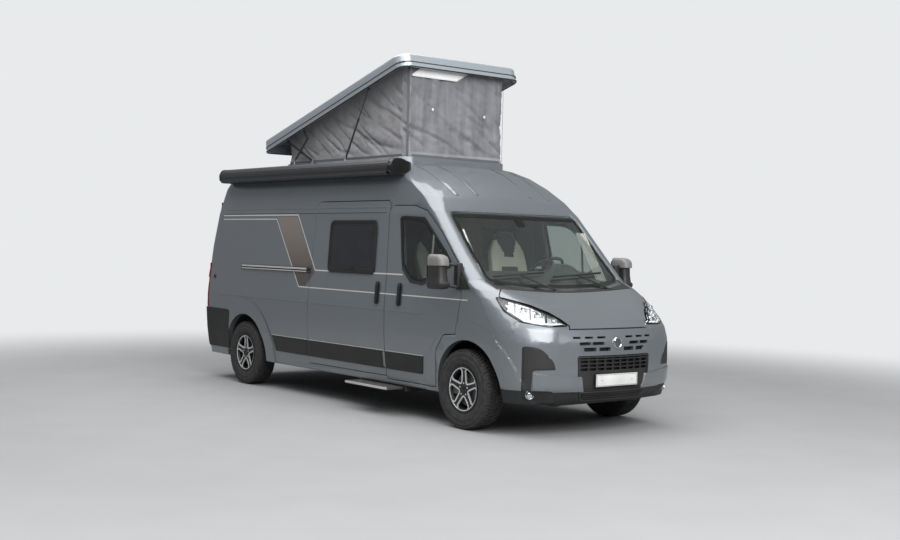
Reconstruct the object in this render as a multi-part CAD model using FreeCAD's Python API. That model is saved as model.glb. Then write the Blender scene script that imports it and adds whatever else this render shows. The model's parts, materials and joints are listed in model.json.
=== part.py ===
"""Camper van with a pop-up roof: a high-roof panel van with a hollow cabin.

Millimetres.  +X forwards, +Y to the van's left, +Z up.  The origin is on the
ground under the middle of the van.  Outlines are written with x measured from
the front axle (forwards positive) and z from the ground; left-hand pieces are
built first and mirrored for the right.
"""
import FreeCAD
import Part
import math
import os

V = FreeCAD.Vector

# ---------------------------------------------------------------- main sizes
LENGTH = 5998.0            # nose to rear bumper
FRONT_OVERHANG = 948.0
WHEELBASE = 4035.0
HALF_WIDTH = 1024.0        # widest point of the painted sides
FRONT_TRACK = 1810.0
REAR_TRACK = 1790.0
TYRE_RADIUS = 365.0
TYRE_WIDTH = 225.0
RIM_RADIUS = 205.0
ROOF_Z = 2530.0            # crown of the fixed roof
REAR_BUMPER_DEPTH = 50.0

# ------------------------------------------------------- walls, gaps, seams
WALL = 55.0                # whole thickness of a body wall or a door
SKIN = 20.0                # outer layer of a door, which covers its rebate
REBATE_STEP = 8.0          # running depth between a door's skin and its rebate
DOOR_GAP = 9.0             # shut gap round every door and the bonnet
RABBET = 30.0              # how far the rebate reaches in under a door's skin
SEAM = 0.8                 # joint between fixed panels
DOOR_CLEAR = 6.0           # inside pieces stay this far from a closed door
RUN_GAP = 0.3              # between a closed, sliding or turning piece and its seat
GLASS = 6.0
GLASS_SINK = 3.0           # glass lies this far below the painted skin
GLASS_LAP = 14.0           # glass bears on its frame by this much
TRIM = 9.0                 # thickness of outside plastic trims

FRONT_AXLE_X = LENGTH / 2 - FRONT_OVERHANG
REAR_AXLE_X = FRONT_AXLE_X - WHEELBASE
NOSE_X = LENGTH / 2
TAIL_X = -LENGTH / 2 + REAR_BUMPER_DEPTH
AXLE_Z = TYRE_RADIUS

# ------------------------------------------------------------ body's section
# Left half of the section across the body.  Each row is the end of one line or
# arc: inset from the half width, z, and a point on the arc (None for a line).
SILL_INSET, SILL_Z = 62.0, 300.0
SECTION = [
    # (inset, z), (inset, z) on the arc
    ((4.0, 720.0), (20.0, 490.0)),
    ((0.0, 1020.0), None),
    ((79.0, 1970.0), (24.0, 1500.0)),
    ((141.0, 2300.0), None),
    ((262.0, ROOF_Z - 28.0), (176.0, 2440.0)),
]

# Horizontal slices of nose, windscreen, roof cap and tail, from the sill up.
SLICES = [
    # z, nose x, corner x, corner y, x where the side begins, tail set forward
    (300, 880, 800, 620, 420, 30),
    (450, 940, 850, 660, 400, 0),
    (620, 948, 860, 660, 380, 0),
    (840, 940, 850, 660, 360, 0),
    (945, 885, 835, 600, 340, 2),
    (1020, 770, 795, 520, 320, 4),
    (1120, 580, 650, 540, 280, 8),
    (1200, 400, 490, 640, 220, 12),
    (1275, 225, 310, 790, 110, 16),
    (1345, 120, 125, 865, -30, 20),
    (1600, -130, -140, 848, -240, 42),
    (1985, -496, -510, 822, -600, 120),
    (2130, -600, -650, 780, -840, 155),
    (2275, -800, -890, 745, -1080, 195),
    (2390, -1010, -1100, 680, -1310, 230),
    (2465, -1220, -1310, 600, -1530, 258),
    (2505, -1400, -1500, 500, -1760, 275),
    (2560, -1700, -1800, 380, -2100, 310),
]
TAIL_CORNER_R = 80.0
CORNER_BULGE = 0.20        # depth of a nose corner's arc over its chord

# ------------------------------------------------------------------ outlines
# Side views: x from the front axle, z, corner radius.
CAB_DOOR = [
    (-1222, 345, 20), (-1222, 1000, 0), (-1232, 1400, 0), (-1262, 1780, 0), (-1282, 2040, 75),
    (-880, 2036, 120), (-670, 1982, 120), (-420, 1786, 200), (-200, 1560, 150), (-66, 1430, 60),
    (-52, 1200, 0), (-98, 862, 12), (-270, 846, 60), (-392, 700, 60), (-430, 345, 20),
]
CAB_WINDOW = [
    (-1085, 1930, 50), (-700, 1912, 60), (-370, 1632, 30), (-225, 1492, 30),
    (-640, 1300, 80), (-830, 1318, 60), (-985, 1450, 40),
]
SLIDING_DOOR = [
    (-1222, 372, 20), (-1222, 1000, 0), (-1232, 1400, 0), (-1262, 1780, 0), (-1290, 2090, 60),
    (-2610, 2090, 60), (-2634, 1400, 0), (-2652, 372, 20),
]
SIDE_WINDOW = [(-1485, 1872, 45), (-2290, 1872, 45), (-2273, 1380, 45), (-1462, 1380, 45)]
REAR_WINDOW_Y = (130.0, 700.0)
REAR_WINDOW_Z = (1270.0, 1780.0)
REAR_DOOR_Z = (610.0, 2330.0)
REAR_DOOR_INSET = 92.0     # rear door's outer edge from the side's surface
TAIL_LAMP_Z = (856.0, 1391.0)

# Front views across the diagonal of each front corner: u = (y - x) / sqrt 2.
HEADLAMP = [
    (-236, 975, 8), (-160, 1030, 60), (-50, 1088, 120), (120, 1150, 200), (300, 1193, 0),
    (428, 1222, 10), (340, 1095, 60), (176, 1005, 60), (-60, 972, 0),
]
BONNET_SIDE_U = 392.0      # u of the bonnet's edge above the lamp's tip
BONNET_REAR = 282.0        # x of the bonnet's rear edge
BONNET_FRONT_Z = 948.0
BUMPER_LINE = [(640, 1010), (560, 832), (440, 742)]

# Front view of the windscreen: y, z, corner radius.
WINDSCREEN = [(855, 1338, 60), (809, 1975, 60), (-809, 1975, 60), (-855, 1338, 60),
              (-560, 1290, 300), (0, 1272, 600), (560, 1290, 300)]

FRONT_ARCH_X, ARCH_RADIUS = 62.0, 450.0
REAR_ARCH_X = 12.0
FLARE, FLARE_WIDTH = 10.0, 150.0


# ------------------------------------------------------------- small helpers
def fx(ahead):
    """Row x of a point given from the front axle."""
    return FRONT_AXLE_X + ahead


def other_side(shape):
    return shape.mirror(V(0, 0, 0), V(0, 1, 0))


def box(x0, x1, y0, y1, z0, z1):
    return Part.makeBox(x1 - x0, y1 - y0, z1 - z0, V(x0, y0, z0))


def cylinder(radius, start, end):
    run = end - start
    return Part.makeCylinder(radius, run.Length, start, run)


def rounded_wire(points, place):
    """Closed wire through (a, b, radius) corners; place(a, b) gives the point."""
    count = len(points)
    corners = []
    for i, (a, b, radius) in enumerate(points):
        here = V(a, b, 0)
        back = V(*points[i - 1][:2], 0) - here
        on = V(*points[(i + 1) % count][:2], 0) - here
        if radius == 0:
            corners.append((here, None, here))
            continue
        back.normalize()
        on.normalize()
        half = back.getAngle(on) / 2
        inwards = (back + on).normalize()
        reach = radius / math.tan(half)
        centre = here + inwards * (radius / math.sin(half))
        corners.append((here + back * reach, centre - inwards * radius, here + on * reach))
    edges = []
    for i, (start, middle, end) in enumerate(corners):
        if middle is not None:
            edges.append(Part.Arc(*[place(p.x, p.y) for p in (start, middle, end)]).toShape())
        following = corners[(i + 1) % count][0]
        if end.distanceToPoint(following) > 0.01:
            edges.append(Part.makeLine(place(end.x, end.y), place(following.x, following.y)))
    return Part.Wire(edges)


def prism(points, axis, low, high, grow=0.0):
    """Solid on a rounded outline, from low to high along X, Y or Z."""
    places = {"X": lambda a, b: V(low, a, b),
              "Y": lambda a, b: V(a, low, b),
              "Z": lambda a, b: V(a, b, low)}
    along = {"X": V(1, 0, 0), "Y": V(0, 1, 0), "Z": V(0, 0, 1)}[axis]
    wire = rounded_wire(points, places[axis])
    if grow:
        wire = wire.makeOffset2D(grow)
    return Part.Face(wire).extrude(along * (high - low))


def side_prism(points, low, high, grow=0.0):
    """Side-view outline given from the front axle, as a solid across the van."""
    return prism([(fx(x), z, r) for x, z, r in points], "Y", low, high, grow)


def corner_prism(points, grow=0.0):
    """Outline across the left front corner's diagonal, as a solid through it."""
    root = math.sqrt(0.5)
    near, far = 600.0, 1400.0

    def place(u, z):
        return V(fx(0) + root * (near - u), root * (near + u), z)
    wire = rounded_wire(points, place)
    if grow:
        wire = wire.makeOffset2D(grow)
    return Part.Face(wire).extrude(V(root, root, 0) * (far - near))


# -------------------------------------------------------------- body as form
def half_width_at(z):
    """Half width of the section at a height, by straight lines between rows."""
    rows = [(SILL_Z, SILL_INSET)]
    for (inset, row_z), _ in SECTION:
        rows.append((row_z, inset))
    for (z0, i0), (z1, i1) in zip(rows, rows[1:]):
        if z <= z1:
            return HALF_WIDTH - (i0 + (i1 - i0) * (z - z0) / (z1 - z0))
    return HALF_WIDTH - rows[-1][1]


def section_prism(inset):
    """The body's section drawn back by inset, along the whole van."""
    def at(y, z):
        return V(-LENGTH, y, z)
    left, right = [], []
    y, z = HALF_WIDTH - SILL_INSET, SILL_Z
    for (end_inset, end_z), on_arc in SECTION:
        ey = HALF_WIDTH - end_inset
        for side, edges in ((1, left), (-1, right)):
            if on_arc is None:
                edge = Part.makeLine(at(side * y, z), at(side * ey, end_z))
            else:
                edge = Part.Arc(at(side * y, z), at(side * (HALF_WIDTH - on_arc[0]), on_arc[1]),
                                at(side * ey, end_z)).toShape()
            edges.append(edge)
        y, z = ey, end_z
    roof = Part.Arc(at(y, z), at(0, ROOF_Z), at(-y, z)).toShape()
    sill_y = HALF_WIDTH - SILL_INSET
    bottom = Part.makeLine(at(-sill_y, SILL_Z), at(sill_y, SILL_Z))
    wire = Part.Wire(left + [roof] + right[::-1] + [bottom])
    if inset:
        wire = wire.makeOffset2D(-inset)
    return Part.Face(wire).extrude(V(2 * LENGTH, 0, 0))


def slice_wire(row, inset):
    z, nose, corner_x, corner_y, side_x, tail = row
    wide = half_width_at(z) + 2.0 - inset
    nose_x = fx(nose) - inset
    cx, cy = fx(corner_x) - inset, corner_y - 0.3 * inset
    side = fx(side_x) - 0.3 * inset
    tail_x = TAIL_X + tail + inset
    r = TAIL_CORNER_R

    def at(x, y):
        return V(x, y, z)

    def bulged(a, b, hand):
        dx, dy = b.x - a.x, b.y - a.y
        middle = V((a.x + b.x) / 2 + abs(dy) * CORNER_BULGE,
                   (a.y + b.y) / 2 + hand * abs(dx) * CORNER_BULGE, z)
        return Part.Arc(a, middle, b).toShape()

    turn = r * (1 - math.sqrt(0.5))
    edges = [
        Part.Arc(at(cx, -cy), at(nose_x, 0), at(cx, cy)).toShape(),
        bulged(at(cx, cy), at(side, wide), 1),
        Part.makeLine(at(side, wide), at(tail_x + r, wide)),
        Part.Arc(at(tail_x + r, wide), at(tail_x + turn, wide - turn), at(tail_x, wide - r)).toShape(),
        Part.makeLine(at(tail_x, wide - r), at(tail_x, r - wide)),
        Part.Arc(at(tail_x, r - wide), at(tail_x + turn, turn - wide), at(tail_x + r, -wide)).toShape(),
        Part.makeLine(at(tail_x + r, -wide), at(side, -wide)),
        bulged(at(cx, -cy), at(side, -wide), -1),
    ]
    return Part.Wire(Part.__sortEdges__(edges))


def body_form(inset):
    """The whole body as one closed form, drawn in from its skin by inset."""
    plan = Part.makeLoft([slice_wire(row, inset) for row in SLICES], True, True)
    return section_prism(inset).common(plan)



def arch_cutter(ahead, radius, inner_y, taper=0.0):
    """An open wheel arch on the left: round top, straight sides down past the sill."""
    x, outer_y = fx(ahead), HALF_WIDTH + 100
    start = V(x, inner_y, AXLE_Z)
    if taper:
        round_part = Part.makeCone(radius + taper, radius, outer_y - inner_y, start, V(0, 1, 0))
    else:
        round_part = cylinder(radius, start, V(x, outer_y, AXLE_Z))
    return round_part.fuse(box(x - radius, x + radius, inner_y, outer_y, 0, AXLE_Z))


REAR_ARCH = REAR_ARCH_X - WHEELBASE
REAR_TRIM = [(-5200, 385, 0), (-4440, 385, 30), (-4365, 845, 30), (-5200, 852, 0)]


def flared_form():
    """The skin with its four wheel arch flares, which stop at the rear corner trims."""
    proud = body_form(-FLARE)
    form = body_form(0)
    for ahead in (FRONT_ARCH_X, REAR_ARCH):
        band = arch_cutter(ahead, ARCH_RADIUS + FLARE_WIDTH, 800.0, 80.0)
        band = band.cut(side_prism(REAR_TRIM, 700, HALF_WIDTH + 150, SEAM))
        form = form.fuse(proud.common(band)).fuse(proud.common(other_side(band)))
    return form


OUTER = flared_form()
SKIN_BACK = body_form(SKIN)
REBATE = body_form(SKIN + REBATE_STEP)
INNER = body_form(WALL)
CABIN = body_form(WALL + SEAM)
GLASS_SEAT = body_form(GLASS_SINK + GLASS + SEAM)
GLASS_LAYER = body_form(GLASS_SINK).cut(body_form(GLASS_SINK + GLASS))
SHELL = OUTER.cut(INNER)
FAR = HALF_WIDTH + 100


def solid_of(shape):
    """A shape's one solid, or a compound where it has several."""
    solids = [s for s in shape.Solids if s.Volume > 1000]
    return solids[0] if len(solids) == 1 else Part.makeCompound(solids)


# ------------------------------------------------- stepped doors and windows
def hole_for(prism_at):
    """A stepped aperture; prism_at(grow) gives the outline's solid."""
    return prism_at(DOOR_GAP).cut(REBATE).fuse(prism_at(-RABBET))


def panel_for(prism_at):
    """A door: its skin over the whole outline and the frame inside its rebate."""
    skin = SHELL.common(prism_at(0)).cut(SKIN_BACK.common(prism_at(DOOR_GAP)))
    frame = SHELL.common(prism_at(-RABBET - DOOR_GAP))
    return skin.fuse(frame)


def slam_buffer(zone):
    """A buffer on a door opening's flange, just behind the closed door's skin."""
    return SHELL.common(zone).common(body_form(SKIN + RUN_GAP))


def window_hole(prism_at):
    return prism_at(GLASS_LAP).cut(GLASS_SEAT).fuse(prism_at(0))


def pane_for(prism_at):
    return GLASS_LAYER.common(prism_at(GLASS_LAP - SEAM))


def left(outline):
    """prism_at for a side-view outline on the left."""
    return lambda grow=0.0: side_prism(outline, 620.0, FAR, grow)


def rear(outline):
    """prism_at for a rear-view outline of y, z on the tail."""
    return lambda grow=0.0: prism(outline, "X", TAIL_X - 60, TAIL_X + 330, grow)


def front(outline):
    return lambda grow=0.0: prism(outline, "X", fx(-800), fx(330), grow)


def rear_door_outline(inner_y):
    z0, z1 = REAR_DOOR_Z
    edge = [(half_width_at(z) - REAR_DOOR_INSET, z) for z in (1020, 1970, z1)]
    return [(inner_y, z0, 12), (edge[0][0], z0, 30), (edge[0][0], 1020, 0), (edge[1][0], 1970, 0),
            (edge[2][0], z1, 90), (inner_y, z1, 12)]


REAR_WINDOW = [(REAR_WINDOW_Y[0], REAR_WINDOW_Z[0], 45), (REAR_WINDOW_Y[1], REAR_WINDOW_Z[0], 45),
               (REAR_WINDOW_Y[1] - 45, REAR_WINDOW_Z[1], 45), (REAR_WINDOW_Y[0], REAR_WINDOW_Z[1], 45)]


def both_rear_doors(grow=0.0):
    half = rear_door_outline(0.0)[1:5]
    outline = half + [(-y, z, r) for y, z, r in half[::-1]]
    return rear(outline)(grow)


# -------------------------------------------------------------- front corners
ROOF_SEAM_Y = 790.0
SCUTTLE_Y = 868.0
WING_FOOT_Y = 930.0        # inner edge of the wing's foot behind the arch
LAMP_CUT = corner_prism(HEADLAMP, SEAM)
ARCH_CUT = arch_cutter(FRONT_ARCH_X, ARCH_RADIUS, 600.0)
REAR_CUT = arch_cutter(REAR_ARCH, ARCH_RADIUS, 600.0)


def beside_bonnet(grow=0.0):
    """Everything beside and below the bonnet's left edge, across the corner."""
    outline = [(HEADLAMP[0][0], 200, 0)] + HEADLAMP[:5] + [
        (BONNET_SIDE_U, 1212, 20), (BONNET_SIDE_U - 18, 1500, 0), (900, 1500, 0), (900, 200, 0)]
    return corner_prism(outline, grow)


def bonnet_zone(gap):
    """The bonnet's space, drawn in by gap all round."""
    zone = box(fx(BONNET_REAR) + gap, NOSE_X + 60, -HALF_WIDTH, HALF_WIDTH, BONNET_FRONT_Z + gap, 1500)
    side = beside_bonnet(gap)
    return zone.cut(side).cut(other_side(side))


BONNET_HOLE = bonnet_zone(0.0)
AHEAD_OF_LINE = side_prism(
    [(BUMPER_LINE[0][0] - 20, 1100, 0)] + [(x, z, 0) for x, z in BUMPER_LINE]
    + [(440, 200, 0), (1300, 200, 0), (1300, 1100, 0)], -FAR, FAR)
WING_ZONE = box(fx(-440), fx(900), 620, FAR, 0, 1362)
SCUTTLE_ZONE = box(fx(-100), fx(BONNET_REAR) - SEAM, -SCUTTLE_Y, SCUTTLE_Y, 1180, 1360)


def make_bonnet():
    return solid_of(SHELL.common(bonnet_zone(DOOR_GAP)))


def make_front_panels():
    zone = AHEAD_OF_LINE.common(box(fx(300), NOSE_X + 60, -FAR, FAR, SILL_Z, 1100))
    bumper = SHELL.common(zone).cut(BONNET_HOLE)
    for cutter in (LAMP_CUT, ARCH_CUT):
        bumper = bumper.cut(cutter).cut(other_side(cutter))
    bumper = bumper.cut(box(fx(250), fx(700), -720, 720, SILL_Z - 1, SILL_Z + WALL + 1))
    opening = prism(GRILLE_OPENING, "X", fx(500), NOSE_X + 60)
    painted = bumper.cut(opening).cut(box(fx(0), NOSE_X + 60, -FAR, FAR, 0, SKIRT_Z + SEAM))
    buffer = SHELL.common(SKIN_BACK).common(
        box(fx(600), NOSE_X, *BUFFER_Y, BONNET_FRONT_Z - 20, BONNET_FRONT_Z + DOOR_GAP - RUN_GAP))
    painted = painted.fuse(buffer).fuse(other_side(buffer))
    skirt = bumper.cut(opening).common(box(fx(0), NOSE_X + 60, -FAR, FAR, 0, SKIRT_Z))
    for vent in (corner_prism(VENT), other_side(corner_prism(VENT))):
        skirt = skirt.fuse(bumper.common(vent))
    for vent in (corner_prism(VENT, SEAM), other_side(corner_prism(VENT, SEAM))):
        painted = painted.cut(vent)
    for z, height, slots in SLOT_ROWS:
        for y, width in slots:
            slot = box(fx(700), NOSE_X + 60, y - width / 2, y + width / 2, z - height / 2, z + height / 2)
            painted = painted.cut(slot).cut(other_side(slot))
    grille = SHELL.common(prism(GRILLE_OPENING, "X", fx(500), NOSE_X + 60, -SEAM))
    grille = grille.cut(body_form(WALL - 20)).common(body_form(GRILLE_SINK))
    for z in GRILLE_SLOTS_Z:
        for i in range(GRILLE_SLOTS):
            y = (i - (GRILLE_SLOTS - 1) / 2) * GRILLE_PITCH
            half = GRILLE_PITCH * 0.41
            grille = grille.cut(box(fx(600), NOSE_X + 60, y - half, y + half, z - 11, z + 11))
    for hand in (1, -1):
        y = hand * PLATE_HOLE_Y
        start, end = V(fx(600), y, PLATE_HOLE_Z), V(NOSE_X + 60, y, PLATE_HOLE_Z)
        grille = grille.cut(cylinder(PLATE_HOLE_R, start, end))
    return solid_of(painted), solid_of(skirt), solid_of(grille)


GRILLE_OPENING = [(-455, 722, 25), (455, 722, 25), (440, 400, 30), (-440, 400, 30)]
GRILLE_SINK = 8.0
GRILLE_SLOTS_Z = (600.0, 634.0, 668.0, 702.0)
GRILLE_SLOTS, GRILLE_PITCH = 9, 94.0
PLATE_HOLE_Y, PLATE_HOLE_Z, PLATE_HOLE_R = 150.0, 500.0, 3.0
SKIRT_Z = 420.0
BUFFER_Y = (290.0, 330.0)  # rubber buffers under the bonnet's front edge
VENT = [(158, 806, 20), (30, 796, 40), (-70, 735, 40), (-120, 625, 20), (40, 600, 10), (90, 590, 10),
        (90, 300, 0), (158, 300, 0)]
# height of the row's middle, height of its slots, and their (middle, width) left of the centre line
SLOT_ROWS = [
    (880.0, 18.0, [(448, 80), (317, 90), (175, 98)]),
    (828.0, 28.0, [(370, 120), (226, 134)]),
    (776.0, 34.0, [(317, 134), (150, 134)]),
]


def make_headlamps():
    lamp = solid_of(SHELL.common(corner_prism(HEADLAMP)))
    return Part.makeCompound([lamp, other_side(lamp)])


def make_wing():
    wing = SHELL.common(WING_ZONE).cut(hole_for(left(CAB_DOOR))).cut(ARCH_CUT)
    wing = wing.cut(BONNET_HOLE).cut(LAMP_CUT)
    wing = wing.cut(AHEAD_OF_LINE.fuse(AHEAD_OF_LINE.translated(V(-SEAM, 0, 0))))
    wing = wing.cut(box(fx(-500), fx(BONNET_REAR), 0, SCUTTLE_Y + SEAM, 900, 1500))
    wing = wing.cut(box(fx(-500), fx(0), 0, WING_FOOT_Y, 0, SILL_Z + WALL + 1))
    return solid_of(wing)


# ---------------------------------------------------------------- body sides
def make_side(own_windows, door_outlines):
    side = SHELL.common(box(TAIL_X - 60, fx(BONNET_REAR) - SEAM, ROOF_SEAM_Y, FAR, 0, ROOF_Z + 60))
    side = side.cut(box(fx(-440) - SEAM, fx(900), 600, FAR, 0, 1362 + SEAM))
    for outline in door_outlines:
        side = side.cut(hole_for(left(outline)))
    for outline in own_windows:
        side = side.cut(window_hole(left(outline)))
    side = side.cut(REAR_CUT).cut(window_hole(front(WINDSCREEN)))
    side = side.cut(hole_for(both_rear_doors)).cut(LAMP_ZONE_CUT).cut(SCUTTLE_ZONE)
    rear_edge = fx(CAB_DOOR[0][0])
    for z in BUFFER_Z:
        side = side.fuse(slam_buffer(box(rear_edge + 3, rear_edge + RABBET - 4, 700, FAR, z, z + 40)))
    for x in JACK_X:
        pad = box(fx(x) - 35, fx(x) + 35, JACK_Y - 27, JACK_Y + 27, SILL_Z - JACK_PAD, SILL_Z + 10)
        side = side.fuse(pad)
    return solid_of(side)


BUFFER_Z = (600.0, 950.0)  # slam buffers of the cab doors
JACK_X, JACK_Y, JACK_PAD = (-3451.0, -650.0), 908.0, 6.0   # jacking pads below the sills
LAMP_Y_IN, LAMP_X_IN = REAR_DOOR_INSET - DOOR_GAP, 96.0
TAIL_LAMP_ZONE = box(TAIL_X - 60, TAIL_X + LAMP_X_IN, HALF_WIDTH - LAMP_Y_IN, FAR, *TAIL_LAMP_Z)
LAMP_ZONE_CUT = box(TAIL_X - 60, TAIL_X + LAMP_X_IN + SEAM, HALF_WIDTH - LAMP_Y_IN, FAR,
                    TAIL_LAMP_Z[0] - SEAM, TAIL_LAMP_Z[1] + SEAM).cut(body_form(SKIN + SEAM))


def make_tail_lamps():
    lamp = solid_of(SHELL.common(TAIL_LAMP_ZONE).cut(SKIN_BACK))
    return Part.makeCompound([lamp, other_side(lamp)])


# -------------------------------------------------------------- roof and floor
COAMING_Z = 2552.0
HATCH_X = (-2350.0, -1550.0)   # the way up into the tent
HATCH_HALF = 400.0


def make_roof():
    half = ROOF_SEAM_Y - SEAM
    roof = SHELL.common(box(TAIL_X - 60, NOSE_X, -half, half, 1900, ROOF_Z + 60))
    roof = roof.cut(window_hole(front(WINDSCREEN))).cut(hole_for(both_rear_doors))
    ring = tent_foot(22, ROOF_Z - 60, COAMING_Z).cut(tent_foot(-25, ROOF_Z - 70, COAMING_Z + 10))
    roof = roof.fuse(ring.cut(body_form(1.0)))
    for pivot_x, pivot_z, y in ROOF_PIVOTS:
        for hand in (1, -1):
            lug = box(fx(pivot_x) - 18, fx(pivot_x) + 18, y, y + LUG, ROOF_Z - 60, pivot_z + 14)
            lug = lug.cut(body_form(1.0))
            roof = roof.fuse(lug if hand > 0 else other_side(lug))
    top = REAR_DOOR_Z[1]
    buffer = slam_buffer(box(TAIL_X, TAIL_X + 400, 60, 100, top - RABBET + 4, top - 3))
    roof = roof.fuse(buffer).fuse(other_side(buffer))
    hatch = box(fx(HATCH_X[0]), fx(HATCH_X[1]), -HATCH_HALF, HATCH_HALF, ROOF_Z - 2 * WALL, ROOF_Z + WALL)
    return solid_of(roof.cut(hatch))


FLOOR_Z, FLOOR_TOP = 500.0, 540.0
HOUSING_WALL = 14.0
AXLE_HOLE_R = 150.0
HOUSING_FRONT_Y, HOUSING_REAR_Y = 545.0, 660.0
RAIL_Y, RAIL_WIDTH, RAIL_Z = 460.0, 70.0, 400.0


FRONT_HOUSING_X, FRONT_HOUSING_R = 31.0, 490.0   # room for the turned front wheels
HOUSING_FULL_Y = 925.0     # outboard of this a housing follows its arch
HOUSING_TOP = AXLE_Z + FRONT_HOUSING_R + HOUSING_WALL


def housing_form(ahead, inner_y, offset):
    """A wheel housing's space, its surface moved out by offset from the inside."""
    y = inner_y + HOUSING_WALL - offset
    form = arch_cutter(ahead, ARCH_RADIUS + 5 + offset, y)
    if ahead == FRONT_ARCH_X:
        wide = arch_cutter(FRONT_HOUSING_X, FRONT_HOUSING_R + offset, y)
        form = form.fuse(wide.common(box(-LENGTH, LENGTH, 0, HOUSING_FULL_Y + offset, 0, ROOF_Z)))
    return form


def housing_cut(ahead, inner_y, extra):
    return housing_form(ahead, inner_y, HOUSING_WALL + extra)


def make_floor():
    floor = box(TAIL_X, fx(95), -FAR, FAR, FLOOR_Z, FLOOR_TOP).common(CABIN)
    beside_doors = box(fx(-1300), fx(0), -FAR, FAR, 0, 900).cut(body_form(WALL + DOOR_CLEAR))
    floor = floor.cut(beside_doors)
    for ahead, inner_y in ((FRONT_ARCH_X, HOUSING_FRONT_Y), (REAR_ARCH, HOUSING_REAR_Y)):
        cut = housing_cut(ahead, inner_y, SEAM)
        floor = floor.cut(cut).cut(other_side(cut))
    housing_rear = fx(FRONT_HOUSING_X - FRONT_HOUSING_R - HOUSING_WALL) - SEAM
    beside = box(housing_rear, fx(200), HOUSING_FRONT_Y - SEAM, FAR, 0, 900)
    floor = floor.cut(beside).cut(other_side(beside))
    half = ROOF_SEAM_Y - SEAM
    sill = SHELL.common(box(TAIL_X - 60, TAIL_X + 80, -half, half, SILL_Z, REAR_DOOR_Z[0] + 200))
    sill = sill.cut(hole_for(both_rear_doors)).cut(box(TAIL_X + WALL + 20, TAIL_X + 200, -FAR, FAR, 0, 480))
    rear_edge = box(TAIL_X + WALL - 5, TAIL_X + WALL + 20, -780, 780, 480, FLOOR_TOP)
    return solid_of(floor.fuse(sill).fuse(rear_edge))


def make_housings():
    parts = []
    for ahead, inner_y, axle_x in (
            (FRONT_ARCH_X, HOUSING_FRONT_Y, FRONT_AXLE_X), (REAR_ARCH, HOUSING_REAR_Y, REAR_AXLE_X)):
        shell = housing_form(ahead, inner_y, HOUSING_WALL).cut(housing_form(ahead, inner_y, 0.0))
        shell = shell.common(CABIN).common(box(-LENGTH, LENGTH, 0, FAR, AXLE_Z + 5, ROOF_Z))
        shell = shell.cut(cylinder(AXLE_HOLE_R, V(axle_x, 0, AXLE_Z), V(axle_x, 700, AXLE_Z)))
        parts += [solid_of(shell), other_side(solid_of(shell))]
    return Part.makeCompound(parts)


def make_bulkhead():
    profile = [(100, 500, 0), (140, 500, 0), (140, 1120, 40), (255, 1160, 0), (255, 1195, 0), (100, 1195, 0)]
    wall = side_prism(profile, -FAR, FAR).common(CABIN)
    low_cut = box(fx(0), fx(200), HOUSING_FRONT_Y - SEAM, FAR, 0, HOUSING_TOP + SEAM)
    wall = wall.cut(low_cut).cut(other_side(low_cut))
    return solid_of(wall)


def make_scuttle():
    scuttle = SHELL.common(SCUTTLE_ZONE).cut(window_hole(front(WINDSCREEN))).common(
        box(fx(-100), fx(BONNET_REAR) - SEAM, SEAM - SCUTTLE_Y, SCUTTLE_Y - SEAM, 1180 + SEAM, 1362))
    return solid_of(scuttle)


# ---------------------------------------------------------------- underbody
TOW_HOLES_X, TOW_HOLE_R = (150.0, 270.0), 6.5


def make_rails():
    solid = None
    top = FLOOR_Z - SEAM
    for hand in (1, -1):
        y = hand * (RAIL_Y + RAIL_WIDTH / 2)
        rail = box(TAIL_X + 90, fx(95), y - RAIL_WIDTH / 2, y + RAIL_WIDTH / 2, RAIL_Z, top)
        solid = rail if solid is None else solid.fuse(rail)
    for ahead in (-300, -1500, -2900, -4500):
        solid = solid.fuse(box(fx(ahead) - 40, fx(ahead) + 40, -RAIL_Y - 5, RAIL_Y + 5, RAIL_Z + 30, top))
    for x in TOW_HOLES_X:
        for hand in (1, -1):
            y = hand * (RAIL_Y + RAIL_WIDTH / 2)
            solid = solid.cut(cylinder(TOW_HOLE_R, V(TAIL_X + x, y, RAIL_Z - 5), V(TAIL_X + x, y, top + 5)))
    return solid


KINGPIN_LOW = (875.0, 280.0)
KINGPIN_HIGH = (735.0, 790.0)
HUB_FACE_OUT = 68.0        # wheel's mounting face outboard of its middle


def make_subframe():
    frame = None
    for hand in (1, -1):
        y = hand * (RAIL_Y + RAIL_WIDTH / 2)
        arm = box(fx(-220), fx(700), y - 35, y + 35, 260, 330)
        post = box(fx(-220), fx(-100), y - 35, y + 35, 325, RAIL_Z - SEAM)
        ball_y, ball_z = KINGPIN_LOW
        wish = prism([(fx(-170), hand * 480, 0), (fx(-45), hand * (ball_y - 60), 0), (fx(-28), hand * ball_y, 0),
                      (fx(28), hand * ball_y, 0), (fx(45), hand * (ball_y - 60), 0), (fx(150), hand * 480, 0)],
                     "Z", ball_z - 40, ball_z - 12)
        link = box(fx(-170), fx(150), y - 30, y + 30, ball_z - 40, ball_z)
        for piece in (arm, post, wish, link):
            frame = piece if frame is None else frame.fuse(piece)
    for ahead, low in ((-160, 332), (640, 262)):
        frame = frame.fuse(box(fx(ahead) - 50, fx(ahead) + 50, -RAIL_Y, RAIL_Y, low, low + 66))
    return frame


def make_engine():
    return box(fx(175), fx(690), -400, 340, 328 + SEAM, 905)


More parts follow.
